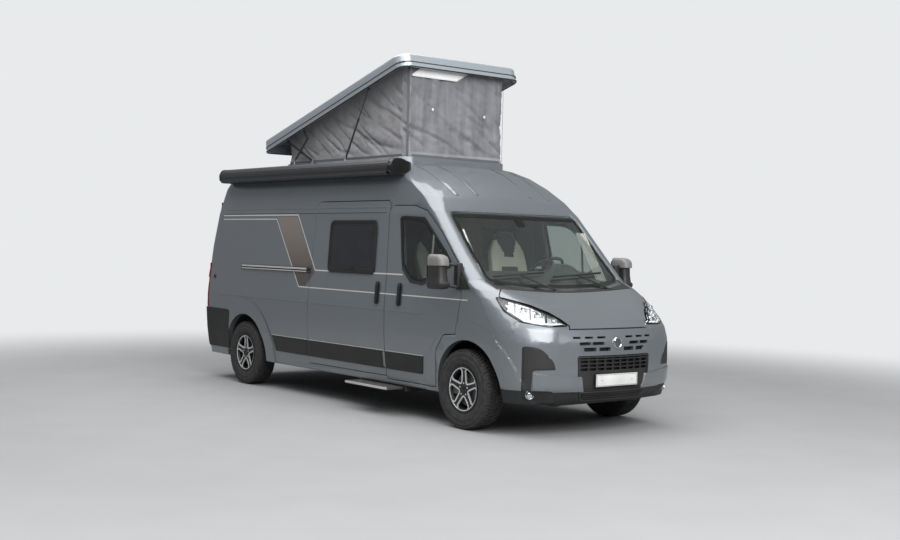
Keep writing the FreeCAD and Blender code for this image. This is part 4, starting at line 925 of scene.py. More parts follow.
def headlamp(hand):
    """One headlamp: lens, black edge, housing, three reflectors and a light strip."""
    place = on_corner(hand, "headlamps")
    outline = divided(rounded(HEADLAMP, HEADLAMP_ROUND, 8), 0.02)
    within = shrunk(outline, 0.004)
    lens = plate("lens_clear", within, place, 0.003, -0.003, step=0.022)
    tray = shrunk([p for p in outline if p[0] < 0.33], 0.02)
    parts = [frame_of("gloss_black", outline, 0.004, 0.011, place, 0.004, -0.004, step=0.03, bevel=0.001),
        plate("lamp_dark", within, place, 0.004, -0.05, step=0.025), plate("reflector", tray, place, 0.004,
        -0.036, step=0.025)]
    out = Vector((DIAGONAL, hand * DIAGONAL, 0))
    turn = facing(out * 0.55 + Vector((1, 0, 0)) * 0.45)
    for u, z, size in REFLECTORS:
        point, _ = place((u, z))
        for section, back, steps, material in ((DISH, 0.02, 40, "reflector"), (BULB, 0.014, 32, "lens_milky")):
            dish = revolved("dish", [(r * size, along) for r, along in section], axis="X", steps=steps)
            parts.append(paint(put(dish, point - out * back, turn), material))
    for u in (-0.04, 0.1, 0.235):
        low, high = 0.24 * max(u, 0), 0.34 * u
        fin = [(u - 0.008, 1.012 + low), (u + 0.006, 1.01 + low), (u + 0.016, 1.098 + high),
            (u + 0.004, 1.1 + high)]
        parts.append(plate("lamp_dark", fin, place, 0.012, -0.03, step=0.02, bevel=0.001))
    parts.append(plate("lens_milky", rounded(LIGHT_STRIP, 0.01, 4), place, 0.006, -0.022, step=0.02,
        bevel=0.002))
    return lens, parts


class CAMPER_OT_headlamps(bpy.types.Operator):
    """Model both headlamps with their reflectors behind clear lenses"""
    bl_idname = "camper.headlamps"
    bl_label = "Headlamps"

    def execute(self, context):
        (left_lens, left), (right_lens, right) = headlamp(1), headlamp(-1)
        finish("headlamp_housings", left + right, "body", "lamp_clear", "headlamps")
        finish("headlamp_lenses", [left_lens, right_lens], "body", "lamp_clear")
        return {"FINISHED"}


# Turned sections of the nose's small pieces, as (radius, along) in metres.
DISC = [(0.0, 0.014), (0.028, 0.0125), (0.038, 0.009), (0.038, 0.0)]
DISC_RING = [(0.038, 0.004), (0.039, 0.012), (0.044, 0.0155), (0.05, 0.013), (0.053, 0.004), (0.053, -0.004),
    (0.038, -0.004)]
SCREW = [(0.0, 0.0105), (0.004, 0.01), (0.0055, 0.0078), (0.0055, 0.004), (0.0, 0.004)]
FOG_LAMP = [(0.0, 0.008), (0.018, 0.006), (0.029, 0.001), (0.031, -0.006), (0.0, -0.012)]
FOG_RING = [(0.03, 0.0), (0.034, 0.006), (0.039, 0.004), (0.041, -0.008), (0.03, -0.01)]
# Outlines on a front corner, as (along the corner, height), each with its corner radii.
FOG_POCKET = rounded([(0.135, 0.432), (-0.085, 0.372), (-0.06, 0.345), (0.15, 0.34)], [0.02, 0.01, 0.01, 0.02])
RECESS = rounded([(0.144, 0.808), (-0.004, 0.797), (-0.117, 0.676), (-0.136, 0.606), (0.064, 0.601),
    (0.073, 0.413), (0.144, 0.411)], [0.02, 0.06, 0.05, 0.015, 0.03, 0.01, 0.0], 5)
LEDGE = rounded([(0.06, 0.578), (-0.2, 0.553), (-0.362, 0.538), (-0.378, 0.402), (-0.089, 0.418),
    (0.058, 0.428)], [0.012, 0.1, 0.012, 0.012, 0.03, 0.02], 5)
PLATE_MIDDLE_Z = 0.5


class CAMPER_OT_front(bpy.types.Operator):
    """Model the plain nose disc, blank plate, air intakes, fog lamps and bumper details"""
    bl_idname = "camper.front"
    bl_label = "Front details"

    def execute(self, context):
        nose = ("front_bumper", "grille", "bumper_skirt", "bonnet")
        front, bumper = on_end(1, *nose), on_end(1, "front_bumper")
        parts = []
        # a bare domed disc in a bright ring
        point, _ = front((0.0, 0.829))
        disc, ring = revolved("disc", DISC, axis="X", steps=48), revolved("ring", DISC_RING, axis="X", steps=64,
            close=True)
        for obj, material in ((disc, "disc_grey"), (ring, "chrome")):
            parts.append(paint(put(obj, point + Vector((-0.003, 0, 0))), material))
        # a dark plate behind the bumper's slots: painted shade in the openings
        slots = [(-0.5, 0.745), (0.5, 0.745), (0.52, 0.9), (-0.52, 0.9)]
        parts.append(plate("lamp_dark", slots, bumper, 0.003, -0.04))
        # blank number plate in its holder, with a raised line and two screws
        x = front((0.0, 0.47))[0].x + 0.01
        for low, high, half, back, ahead, bevel, material in ((0.44, 0.56, 0.268, -0.012, 0.004, 0.006,
                "plastic_black"), (0.446, 0.555, 0.26, 0.003, 0.0075, 0.003, "plate_white")):
            parts.append(paint(slab("holder", (x + back, -half, low), (x + ahead, half, high), bevel),
                material))
        line = rounded(oblong(-0.252, 0.252, 0.4515, 0.5495), 0.008)
        parts.append(frame_of("plate_edge", line, 0.0, 0.0025, across_x(x + 0.0075, 1), 0.0008, step=0.05))
        for y in (-0.19, 0.19):
            parts.append(paint(revolved("screw", SCREW, (x, y, PLATE_MIDDLE_Z), "X", 16), "steel_bare"))
        # lower air intake with slats over a dark plate, which is painted shade inside the intake
        skirt = on_end(1, "bumper_skirt")
        mouth = rounded([(-0.4, 0.392), (0.4, 0.392), (0.37, 0.33), (-0.37, 0.33)], 0.012)
        parts.append(plate("lamp_dark", mouth, skirt, 0.004, step=0.03, bevel=0.0015))
        for z in (0.347, 0.361, 0.376):
            slat = oblong(-0.375, 0.375, z - 0.0028, z + 0.0028)
            parts.append(plate("plastic_black", slat, skirt, 0.01, 0.002, step=0.03))
        parts.append(frame_of("plastic_black", mouth, -0.012, 0.0, skirt, 0.01, step=0.03, bevel=0.003))
        # bars over the grille, in front of a dark plate that is painted shade inside the grille
        grille = on_end(1, "grille")
        outline = rounded([(-0.452, 0.719), (0.452, 0.719), (0.437, 0.405), (-0.437, 0.405)], 0.022)
        parts.append(frame_of("plastic_black", outline, 0.003, 0.017, grille, 0.009, step=0.03, bevel=0.003))
        dark = [(-0.42, 0.585), (0.42, 0.585), (0.43, 0.712), (-0.43, 0.712)]
        parts.append(plate("lamp_dark", dark, grille, 0.002, -0.03))
        for z in (0.617, 0.651, 0.685):
            cross = oblong(-0.43, 0.43, z - 0.004, z + 0.004)
            parts.append(plate("plastic_black", cross, grille, 0.012, -0.004, step=0.03, bevel=0.002))
        # fog lamps, corner recesses and the painted ledges beside them
        ledges = []
        for hand, _ in SIDES:
            place = on_corner(hand, *nose)
            parts.append(plate("lamp_dark", FOG_POCKET, place, 0.003, 0.001, step=0.02, bevel=0.001))
            point = place((0.085, 0.385))[0] + Vector((DIAGONAL, hand * DIAGONAL, 0)) * 0.004
            lamp = revolved("fog", FOG_LAMP, axis="X", steps=32)
            ring = revolved("fog_ring", FOG_RING, axis="X", steps=40, close=True)
            for obj, material in ((lamp, "reflector"), (ring, "chrome")):
                parts.append(paint(put(obj, point, facing((0.88, hand * 0.47, 0))), material))
            parts.append(plate("plastic_black", RECESS, place, 0.003, 0.0005, step=0.025, bevel=0.0015))
            ledges.append(plate("paint_plain", LEDGE, place, 0.016, step=0.02, bevel=0.006))
        # a dark strip on the bumper under the bonnet's front edge: painted shade in the gap between them
        gap_shade_strip = oblong(-0.455, 0.455, 0.9475, 0.956)
        parts.append(plate("satin_black", gap_shade_strip, bumper, 0.0012, step=0.03))
        finish("front_details", parts, "body", "black_plastic")
        finish("bumper_ledges", ledges, "body", "body_paint")
        return {"FINISHED"}


# ------------------------------------------------------------------ sides
# Flank trims as outlines ahead of the front axle; the left has one long piece behind the door.
REAR_TRIM = [(-3.41, 0.617), (-3.34, 0.44), (-2.6545, 0.44), (-2.6525, 0.617)]
MIDDLE_TRIM = [(-2.645, 0.617), (-2.647, 0.44), (-1.2275, 0.44), (-1.2275, 0.617)]
DOOR_TRIM = [(-1.2165, 0.617), (-1.2165, 0.44), (-0.625, 0.44), (-0.595, 0.617)]
LOCK_KNOB = [(0.0, 0.01), (0.018, 0.009), (0.024, 0.004), (0.026, -0.004), (0.0, -0.004)]


def row(points):
    """Outline points given from the front axle, in the van's own x."""
    return [(fx(x), z) for x, z in points]


class CAMPER_OT_side(bpy.types.Operator):
    """Model the black flank trims, handles, sliding door rail and lock knob"""
    bl_idname = "camper.side"
    bl_label = "Side details"

    def execute(self, context):
        for hand, side in SIDES:
            door = "cab_door_" + side
            place = on_side(hand, "body_side_" + side, door, *(["sliding_door"] if hand < 0 else []))
            parts = [("body", REAR_TRIM), ("body", MIDDLE_TRIM), (door, DOOR_TRIM)]
            if hand > 0:
                parts = [("body", REAR_TRIM[:2] + MIDDLE_TRIM[2:]), (door, DOOR_TRIM)]
            for i, (body, outline) in enumerate(parts):
                trim = plate("trim_black", rounded(row(outline), 0.012), place, 0.0065, step=0.045, bevel=0.003)
                # a bright strip along the trim's top edge: painted highlight, where the edge catches the light
                (xa, za), (xb, zb) = outline[0], outline[-1]
                edge = row([(xa + 0.006, za - 0.003), (xb - 0.006, zb - 0.003), (xb - 0.006, zb + 0.003),
                    (xa + 0.006, za + 0.003)])
                edge = plate("alu_bright", edge, place, 0.0072, step=0.06, bevel=0.001)
                finish("flank_trim_%s_%d" % (side, i), [trim, edge], body, "black_plastic")
            for ahead, body in [(-0.99, door)] + ([(-1.362, "body")] if hand < 0 else []):
                settle(handle("handle_%s_%d" % (side, int(-ahead * 1000)), ahead, place), body, "black_plastic")
        place = on_side(-1, "body_side_right", "sliding_door", "slide_rail")
        # the rail's two bright strips are bright metal and also painted highlight along the rail's top
        rail = [plate(material, rounded(row(outline), radius), place, thick, step=step,
            bevel=bevel) for outline, radius, thick, step, bevel, material in ((oblong(-4.136, -2.655, 1.337,
            1.39), 0.012, 0.004, 0.05, 0.002, "gloss_black"), (oblong(-4.12, -2.7, 1.366, 1.385), 0.006, 0.009,
            0.06, 0.002, "alu_bright"), (oblong(-4.12, -2.7, 1.341, 1.352), 0.003, 0.0075, 0.06, 0.0015,
            "alu_bright"), (oblong(-2.69, -2.64, 1.33, 1.4), 0.012, 0.014, 0.03, 0.004, "plastic_black"))]
        finish("sliding_door_rail", rail, "body", "black_plastic", "slide_rail")
        knob = put(mirrored(revolved("lock_knob", LOCK_KNOB, steps=32)), place((fx(-4.783), 1.225))[0])
        settle(paint(knob, "plastic_black"), "body", "black_plastic")
        return {"FINISHED"}


def handle(name, ahead, place):
    """An upright oval recess with a pull bar across it; the recess's darker floor is painted shade."""
    x, low, high = fx(ahead), 1.066, 1.29
    oval = rounded(oblong(x - 0.037, x + 0.037, low, high), 0.034, 8)
    grip = rounded(oblong(x - 0.015, x + 0.018, low + 0.012, high - 0.012), 0.014, 6)
    return joined(name, [frame_of("plastic_black", oval, 0.0, 0.012, place, 0.01, step=0.03, bevel=0.004),
        plate("lamp_dark", shrunk(oval, 0.011), place, 0.001, 0.0005, step=0.03),
        plate("satin_black", grip, place, 0.022, 0.004, step=0.03, bevel=0.007)])


# ------------------------------------------------------------------ tent
TENT_X = (-1.699, 0.623)
TENT_HALF = 0.651
TENT_FOOT_Z = 2.5535
TENT_CORNER = 0.075
TENT_COLUMNS, TENT_LEVELS = 460, 56
# Creases that run down from the gathers, as ((x, z), (x, z)) lines.
PULLS = [((-0.46, 2.98), (-0.02, 2.64)), ((-0.36, 2.84), (0.22, 2.68)), ((-0.2, 2.74), (0.56, 2.62)),
    ((0.05, 2.92), (0.58, 2.7)), ((-0.95, 2.86), (-0.55, 2.6)), ((-0.7, 2.7), (-0.3, 2.59)),
    ((-1.3, 2.74), (-1.0, 2.6)), ((0.3, 3.2), (0.58, 2.9))]
ROOF_LIGHT = [(-0.6, 3.375), (-0.03, 3.375), (0.22, 3.522), (-0.4, 3.522)]


def tent_top(x):
    """Height of the raised roof's ceiling over a place on the roof."""
    return 2.6386 + math.tan(ROOF_OPEN) * (x + 2.588) - 0.0035


def tent_outline(count):
    """Even points round the tent's foot, with the way out at each."""
    x0, x1, y, r = TENT_X[0] + 0.004, TENT_X[1] - 0.004, TENT_HALF, TENT_CORNER
    path, lengths, runs = [], [0.0], []
    corners = [(x1 - r, -y + r, -90), (x1 - r, y - r, 0), (x0 + r, y - r, 90), (x0 + r, -y + r, 180)]
    for cx, cy, start in corners:
        for k in range(9):
            a = math.radians(start + 90 * k / 8)
            path.append(Vector((cx + r * math.cos(a), cy + r * math.sin(a))))
    for a, b in zip(path, path[1:] + path[:1]):
        lengths.append(lengths[-1] + (b - a).length)
    for k in range(count):
        s = lengths[-1] * k / count
        i = max(j for j in range(len(path)) if lengths[j] <= s)
        a, b = path[i], path[(i + 1) % len(path)]
        along = (b - a).normalized()
        p = a.lerp(b, (s - lengths[i]) / max(1e-9, (b - a).length))
        runs.append((p, Vector((along.y, -along.x)), s))
    return runs, lengths[-1]


def pull(x, z, xa, za, xb, zb):
    """How deep a crease from (xa, za) to (xb, zb) is at (x, z): 1 on its line, 0 away from it."""
    long = (xb - xa) ** 2 + (zb - za) ** 2
    t = ((x - xa) * (xb - xa) + (z - za) * (zb - za)) / long
    if t <= 0.0 or t >= 1.0:
        return 0.0
    away = abs((x - xa) * (zb - za) - (z - za) * (xb - xa)) / math.sqrt(long)
    side = 0.016 + 0.03 * t
    return math.sin(math.pi * t) * max(0.0, 1.0 - away / side) ** 2


def tent_push(p, out, s, z, t, height):
    """How far the cloth stands out at a point: gathers, slanting folds and creases."""
    hang = math.sin(math.pi * t)
    push = -0.012 * hang * min(1.0, height / 0.6)
    free = min(1.0, hang * 1.6)
    fold = noise.fractal(Vector((s * 3.1, z * 1.1, 3.0)), 0.8, 2.1, 5)
    slant = noise.fractal(Vector((s * 2.2 + z * 3.3, z * 3.2 - s * 1.7, 8.0)), 0.7, 2.0, 4)
    crease = abs(noise.noise(Vector((s * 5.0 + z * 7.5, z * 1.2 - s * 0.6, 1.5))))
    crease = max(0.0, 0.12 - crease) * 0.09
    low = max(0.0, 1 - t * 2.2)
    push += free * (0.013 * fold + (0.01 + 0.016 * low) * slant) - crease * free * (1.6 + 2.2 * low)
    if out.x > 0.7:
        push += free * 0.0035 * math.sin(p.y * 38.0 + 1.2 * noise.noise(Vector((p.y * 2, z, 0))))
    else:
        push -= sum(0.02 * pull(p.x, z, *start, *end) for start, end in PULLS)
    return max(-0.05, min(0.01, push))


def tent_cloth():
    """The tent's wall as one cloth: gathered folds, sag and seams."""
    runs, total = tent_outline(TENT_COLUMNS)
    bm = bmesh.new()
    grid = []
    for p, out, s in runs:
        height = tent_top(p.x) - TENT_FOOT_Z
        line = []
        for j in range(TENT_LEVELS + 1):
            t = j / TENT_LEVELS
            z = TENT_FOOT_Z + height * t
            q = p + out * tent_push(p, out, s, z, t, height)
            line.append(bm.verts.new((q.x, q.y, z)))
        grid.append(line)
    for a, b in zip(grid, grid[1:] + grid[:1]):
        for j in range(TENT_LEVELS):
            face = bm.faces.new((a[j], b[j], b[j + 1], a[j + 1]))
            c = face.calc_center_median()
            face.material_index = int(c.x > TENT_X[1] - 0.07 and abs(c.y) < 0.6 and c.z > 2.6)
    area = sum(f.calc_area() for f in bm.faces)
    cloth = new_object("tent_wall", mesh_of(bm, "tent_wall", 180))
    return paint(cloth, "tent_cloth", "tent_panel"), total, area


def strip_on_tent(start, end, steps, half, material):
    """A narrow sewn band along a straight line between two points on the wall."""
    start, end = Vector(start), Vector(end)
    along = (end - start).normalized()
    rings = []
    for p in (start.lerp(end, k / steps) for k in range(steps + 1)):
        way = 1 if p.y > 0 else -1
        out = Vector((1, 0, 0)) if p.x > TENT_X[1] - 0.02 else Vector((0, way, 0))
        if abs(p.x - TENT_X[1]) < 0.1 and abs(abs(p.y) - TENT_HALF) < 0.1:
            out = Vector((0.7, 0.7 * way, 0)).normalized()
        side = along.cross(out).normalized() * half
        rings.append([p - side, p - side + out * 0.002, p + side + out * 0.002, p + side])
    return paint(lofted("strip", rings), material)


class CAMPER_OT_tent(bpy.types.Operator):
    """Sew the tent's wall, its seams, clear panel and hems"""
    bl_idname = "camper.tent"
    bl_label = "Tent"

    def execute(self, context):
        cloth, around, area = tent_cloth()
        settle(thickened(cloth, 0.0012), "body", "tent_fabric", "roof_tent")
        x0, x1 = TENT_X
        trims = [strip_on_tent((x1 - 0.016, y, 2.56), (x1 - 0.016, y, tent_top(x1) - 0.02), 30, 0.011,
            "tent_binding") for y in (-0.628, 0.628)]
        for y in (-TENT_HALF - 0.001, TENT_HALF + 0.001):
            trims.append(strip_on_tent((x0 + 0.08, y, 2.568), (x1 - 0.08, y, 2.568), 40, 0.012, "tent_binding"))
        trims.append(strip_on_tent((x1 - 0.003, -0.58, 2.568), (x1 - 0.003, 0.58, 2.568), 24, 0.012,
            "tent_binding"))
        # pale roof light behind the top of the front panel, with its frame and two tabs
        bm = bmesh.new()
        bm.faces.new([bm.verts.new((x1 + 0.0005, y, z)) for y, z in ROOF_LIGHT])
        bmesh.ops.subdivide_edges(bm, edges=bm.edges, cuts=6, use_grid_fill=True)
        light = paint(new_object("roof_light", mesh_of(bm, "roof_light")), "roof_light")
        trims.append(thickened(light, 0.003))
        for (ya, za), (yb, zb) in zip(ROOF_LIGHT, ROOF_LIGHT[1:] + ROOF_LIGHT[:1]):
            trims.append(strip_on_tent((x1 + 0.001, ya, za), (x1 + 0.001, yb, zb), 8, 0.008, "light_frame"))
        for y, z in ((-0.33, 3.05), (0.36, 3.03)):
            tab = slab("tab", (x1 - 0.004, y - 0.011, z - 0.013), (x1 + 0.003, y + 0.011, z + 0.013), 0.002)
            trims.append(paint(tab, "light_frame"))
        details = finish("tent_trims", trims, "body", "tent_fabric")
        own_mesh(cloth)
        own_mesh(details)
        return {"FINISHED"}


# ------------------------------------------------------------------ awning and raised shell
AWNING = [(-0.78, 2.372), (-0.78, 2.47), (-0.9, 2.506), (-1.0, 2.5), (-1.036, 2.44), (-1.03, 2.372),
    (-0.99, 2.345), (-0.86, 2.345)]
AWNING_ROUND = [0.0, 0.0, 0.03, 0.04, 0.04, 0.02, 0.01, 0.0]
LEAD_RAIL = rounded([(-1.0335, 2.352), (-1.0385, 2.352), (-1.0385, 2.374), (-1.0335, 2.374)], 0.002, 3)
LEAD_LIP = rounded([(-0.985, 2.3425), (-1.034, 2.3425), (-1.034, 2.352), (-0.985, 2.348)], 0.002, 3)


class CAMPER_OT_awning(bpy.types.Operator):
    """Finish the awning case with its end caps, lead rail and grooves"""
    bl_idname = "camper.awning"
    bl_label = "Awning case"

    def execute(self, context):
        low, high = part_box("awning_case")
        cap = [(min(y, -0.8), max(z, 2.3425)) for y, z in shrunk(rounded(AWNING, AWNING_ROUND, 8), -0.0015)]
        parts = []
        for x0, x1 in ((low.x - 0.004, low.x + 0.05), (high.x - 0.06, high.x + 0.006)):
            parts.append(paint(bar("cap", cap, x0, x1, 0.006), "gloss_black"))
            parts.append(paint(bar("cap_band", shrunk(cap, -0.002), x0 + 0.014, x0 + 0.018), "satin_black"))
        lengths = [(LEAD_RAIL, "alu_awning"), (LEAD_LIP, "alu_awning")]
        lengths += [(oblong(y - 0.0012, y + 0.004, z - 0.002, z + 0.002), "satin_black") for y,
            z in ((-1.0355, 2.4), (-1.03, 2.452))]
        parts += [paint(bar("length", loop, low.x + 0.05, high.x - 0.06), material) for loop,
            material in lengths]
        finish("awning_details", parts, "body", "awning_aluminium")
        return {"FINISHED"}


class CAMPER_OT_roof(bpy.types.Operator):
    """Add the raised shell's rubber seal, edge lips and top ribs"""
    bl_idname = "camper.roof"
    bl_label = "Pop-up roof"

    def execute(self, context):
        pivot = Vector((ROOF_PIVOT[0], 0, ROOF_PIVOT[1]))
        turn = Matrix.Translation(pivot) @ Matrix.Rotation(-ROOF_OPEN, 4, "Y") @ Matrix.Translation(-pivot)
        x0, x1, half = fx(-4.042), fx(-1.222), 0.785
        plan = rounded(oblong(x0, x1, -half, half), [0.09, 0.13, 0.13, 0.09], 10)
        parts = []
        for grow, inner, low, high, material in ((0.002, 0.012, 2.5305, 2.5375, "satin_black"),
                (0.0025, 0.006, 2.578, 2.588, "joint_dark"), (0.0045, 0.006, 2.5375, 2.5465, "paint_shell_painted_light")):
            outer, hole = shrunk(plan, -grow), shrunk(plan, inner)
            rings = [[(x, y, z) for x, y in loop] for loop, z in ((outer, low), (outer, high), (hole, high),
                (hole, low))]
            parts.append(paint(lofted("ring", rings, 30, loop=True), material))
        for y in (-0.42, -0.14, 0.14, 0.42):
            rib = slab("rib", (x0 + 0.25, y - 0.045, 2.668), (x1 - 0.3, y + 0.045, 2.6765))
            parts.append(paint(rib, "paint_shell_painted_light"))
        for obj in parts:
            obj.data.transform(turn)
        finish("shell_details", parts, "pop_roof", "roof_paint")
        return {"FINISHED"}


# ------------------------------------------------------------------ windows
CAB_WINDOW = [(-1.085, 1.93), (-0.7, 1.912), (-0.37, 1.632), (-0.225, 1.492), (-0.64, 1.3), (-0.83, 1.318),
    (-0.985, 1.45)]
CAB_ROUND = [0.05, 0.13, 0.1, 0.05, 0.16, 0.1, 0.14]
SILL_STRIP = [(-0.985, 1.428), (-0.835, 1.3), (-0.64, 1.282), (-0.225, 1.472), (-0.235, 1.492), (-0.64, 1.306),
    (-0.825, 1.322), (-0.972, 1.44)]
LIVING_WINDOW = [(-2.3, 1.885), (-1.47, 1.885), (-1.45, 1.367), (-2.285, 1.367)]
CATCH_X = -1.86
REAR_WINDOW = [(0.125, 1.262), (0.702, 1.262), (0.702, 1.788), (0.125, 1.788)]
SCREEN = [(-0.809, 1.975), (-0.855, 1.338), (-0.56, 1.29), (0.0, 1.272), (0.56, 1.29), (0.855, 1.338),
    (0.809, 1.975)]
SCREEN_ROUND = [0.05, 0.09, 0.4, 0.5, 0.4, 0.09, 0.05]


def living_window(place):
    """A framed camper window: outer frame, inner frame and pane."""
    loop = rounded(row(LIVING_WINDOW), 0.06, 8)
    return [frame_of("satin_black", loop, -0.012, 0.018, place, 0.012, step=0.035, bevel=0.004),
        frame_of("plastic_black", loop, 0.0175, 0.042, place, 0.007, 0.001, step=0.035, bevel=0.002),
        plate("window_pane", shrunk(loop, 0.041), place, 0.003, 0.003, step=0.06, bevel=0.001)]


class CAMPER_OT_windows(bpy.types.Operator):
    """Frame every window with its seal, printed border, divider and catch"""
    bl_idname = "camper.windows"
    bl_label = "Windows"

    def execute(self, context):
        for hand, side in SIDES:
            place = on_side(hand, "cab_door_" + side, "door_glass_" + side)
            loop = rounded(row(CAB_WINDOW), CAB_ROUND, 8)
            x = fx(-0.53)
            divider = [(x - 0.013, 1.325), (x + 0.013, 1.33), (x + 0.013, 1.742), (x - 0.013, 1.764)]
            parts = [frame_of("satin_black", loop, -0.01, 0.006, place, 0.005, step=0.03, bevel=0.002),
                frame_of("glass_border", loop, 0.006, 0.03, place, 0.0012, 0.0006, step=0.03),
                plate("divider_grey", divider, place, 0.004, bevel=0.001),
                plate("plastic_black", row(SILL_STRIP), place, 0.007, step=0.03, bevel=0.002)]
            finish("cab_window_frame_" + side, parts, "cab_door_" + side, "black_plastic")
        place = on_side(-1, "sliding_door", "side_windows", "body_side_right")
        catch = rounded(row(oblong(CATCH_X - 0.03, CATCH_X + 0.03, 1.392, 1.414)), 0.006)
        catch = plate("satin_black", catch, place, 0.012, 0.004, step=0.02, bevel=0.002)
        finish("living_window", living_window(place) + [catch], "body", "glazing")
        place = on_side(1, "body_side_left", "side_windows")
        finish("living_window_left", living_window(place), "body", "glazing")
        for hand, side in SIDES:
            place = on_end(-1, "rear_door_" + side, "rear_glass_" + side)
            loop = rounded([(hand * y, z) for y, z in REAR_WINDOW], 0.06, 8)
            parts = [frame_of("satin_black", loop, -0.012, 0.01, place, 0.006, bevel=0.002),
                frame_of("glass_border", loop, 0.01, 0.034, place, 0.0012, 0.0006)]
            finish("rear_window_frame_" + side, parts, "rear_door_" + side, "black_plastic")
        # windscreen: printed border, shade band and the mirror's foot
        place = on_end(1, "windscreen")
        shade = [(-0.76, 1.932), (0.76, 1.932), (0.765, 1.957), (-0.765, 1.957)]
        foot = rounded([(-0.055, 1.955), (0.055, 1.955), (0.045, 1.86), (-0.045, 1.86)], 0.02)
        loop = rounded(SCREEN, SCREEN_ROUND, 10)
        parts = [frame_of("glass_border", loop, 0.012, 0.04, place, 0.0012, 0.0006, step=0.05),
            plate("glass_border", shade, place, 0.001, 0.0005, step=0.05), plate("glass_border", foot, place,
            0.001, 0.0005, step=0.03)]
        finish("windscreen_border", parts, "body", "windscreen_glass")
        return {"FINISHED"}


# ------------------------------------------------------------------ cabin
def cushion(name, low, high, crown, pinch):
    """A crowned pad: sides pull in between its corners and every edge is soft."""
    bm = bmesh.new()
    bmesh.ops.create_cube(bm, size=2.0)
    bmesh.ops.subdivide_edges(bm, edges=bm.edges[:], cuts=11, use_grid_fill=True)
    size, middle = (Vector(high) - Vector(low)) / 2, (Vector(high) + Vector(low)) / 2
    for v in bm.verts:
        u, p = v.co.copy(), Vector()
        for i in range(3):
            a, b = u[(i + 1) % 3], u[(i + 2) % 3]
            drawn = 1 - a ** 2 * pinch * 0.5 - b ** 2 * pinch * 0.5 + (a * b) ** 2 * pinch ** 2 / 3
            p[i] = u[i] * math.sqrt(max(0.0, drawn)) * (1 + crown * (1 - a ** 2) * (1 - b ** 2))
        v.co = p / (1 + crown) * size + middle
    bmesh.ops.recalc_face_normals(bm, faces=bm.faces)
    return new_object(name, mesh_of(bm, name, 180))


# A seat back's outline as (height share, half width, half depth).
SEAT_PLAN = [(0.0, 0.2, 0.05), (0.06, 0.225, 0.062), (0.2, 0.238, 0.062), (0.45, 0.238, 0.056),
    (0.66, 0.236, 0.05), (0.76, 0.228, 0.046), (0.83, 0.2, 0.046), (0.88, 0.165, 0.048), (0.93, 0.14, 0.05),
    (0.98, 0.118, 0.044), (1.0, 0.07, 0.022)]
SEAT_ROUNDS, SEAT_LEVELS = 72, 84
SEAT_CHANNELS = (0.18, 0.32, 0.46, 0.6)
# Pads of a seat: low corner, high corner, crown, pinch and cloth.
SEAT_PADS = [((1.13, -0.225, 0.845), (1.64, 0.225, 0.975), 0.1, 0.5, "seat_light"),
             ((1.2, -0.13, 0.88), (1.615, 0.13, 0.992), 0.1, 0.55, "seat_dark"),
             ((1.16, 0.13, 0.865), (1.625, 0.236, 1.005), 0.12, 0.75, "seat_light"),
             ((1.16, -0.236, 0.865), (1.625, -0.13, 1.005), 0.12, 0.75, "seat_light")]
WELT = [(1.17, 0.131, 0.988), (1.4, 0.134, 0.999), (1.59, 0.131, 0.986), (1.61, 0.129, 0.955),
    (1.4, 0.13, 0.965), (1.18, 0.129, 0.965)]


def between(table, t):
    """Values of a table of rows (t, ...) at t, eased from row to row."""
    for low, high in zip(table, table[1:]):
        if t <= high[0]:
            k = (t - low[0]) / (high[0] - low[0])
            k = k * k * (3 - 2 * k) * 0.5 + k * 0.5
            return [x + (y - x) * k for x, y in zip(low[1:], high[1:])]
    return list(table[-1][1:])


def dark_insert(across, up):
    """True on the dark middle panel and head of a seat back."""
    if up > 0.9:
        return abs(across) < 0.15
    if up > 0.7:
        return abs(across) < 0.05 + 0.4 * (up - 0.7)
    return up < 0.6 and abs(across) < 0.118 and up > 0.06


def seat_back(length):
    """A high back with wings, an inset middle, sewn channels and a narrow head."""
    rings = []
    for j in range(SEAT_LEVELS + 1):
        up = j / SEAT_LEVELS
        half, thick = between(SEAT_PLAN, up)
        ring = []
        for k in range(SEAT_ROUNDS):
            a = 2 * math.pi * (k + 0.5) / SEAT_ROUNDS
            c, s = math.cos(a), math.sin(a)
            across = half * math.copysign(abs(s) ** 0.62, s)
            deep = thick * math.copysign(abs(c) ** 0.75, c)
            if c > 0:
                wing = max(0.0, abs(across) - 0.115) / 0.12
                deep += 0.03 * min(1.0, wing) ** 2 * (1 - max(0.0, up - 0.66) / 0.34)
                deep -= 0.01 * math.exp(-((abs(across) - 0.118) / 0.012) ** 2) * (up < 0.8)
                for row_at in SEAT_CHANNELS:
                    deep -= 0.006 * math.exp(-((up - row_at) / 0.01) ** 2) * (abs(across) < 0.118)
                deep += 0.004 * math.sin(math.pi * across / 0.12) ** 2
            ring.append((deep, across, up * length))
        rings.append(ring)

    def mark(level, face):
        middle = face.calc_center_median()
        return int(middle.x > 0.0 and dark_insert(middle.y, (level + 0.5) / SEAT_LEVELS))
    return paint(lofted("back", rings, 180, ends=True, mark=mark), "seat_light", "seat_dark")


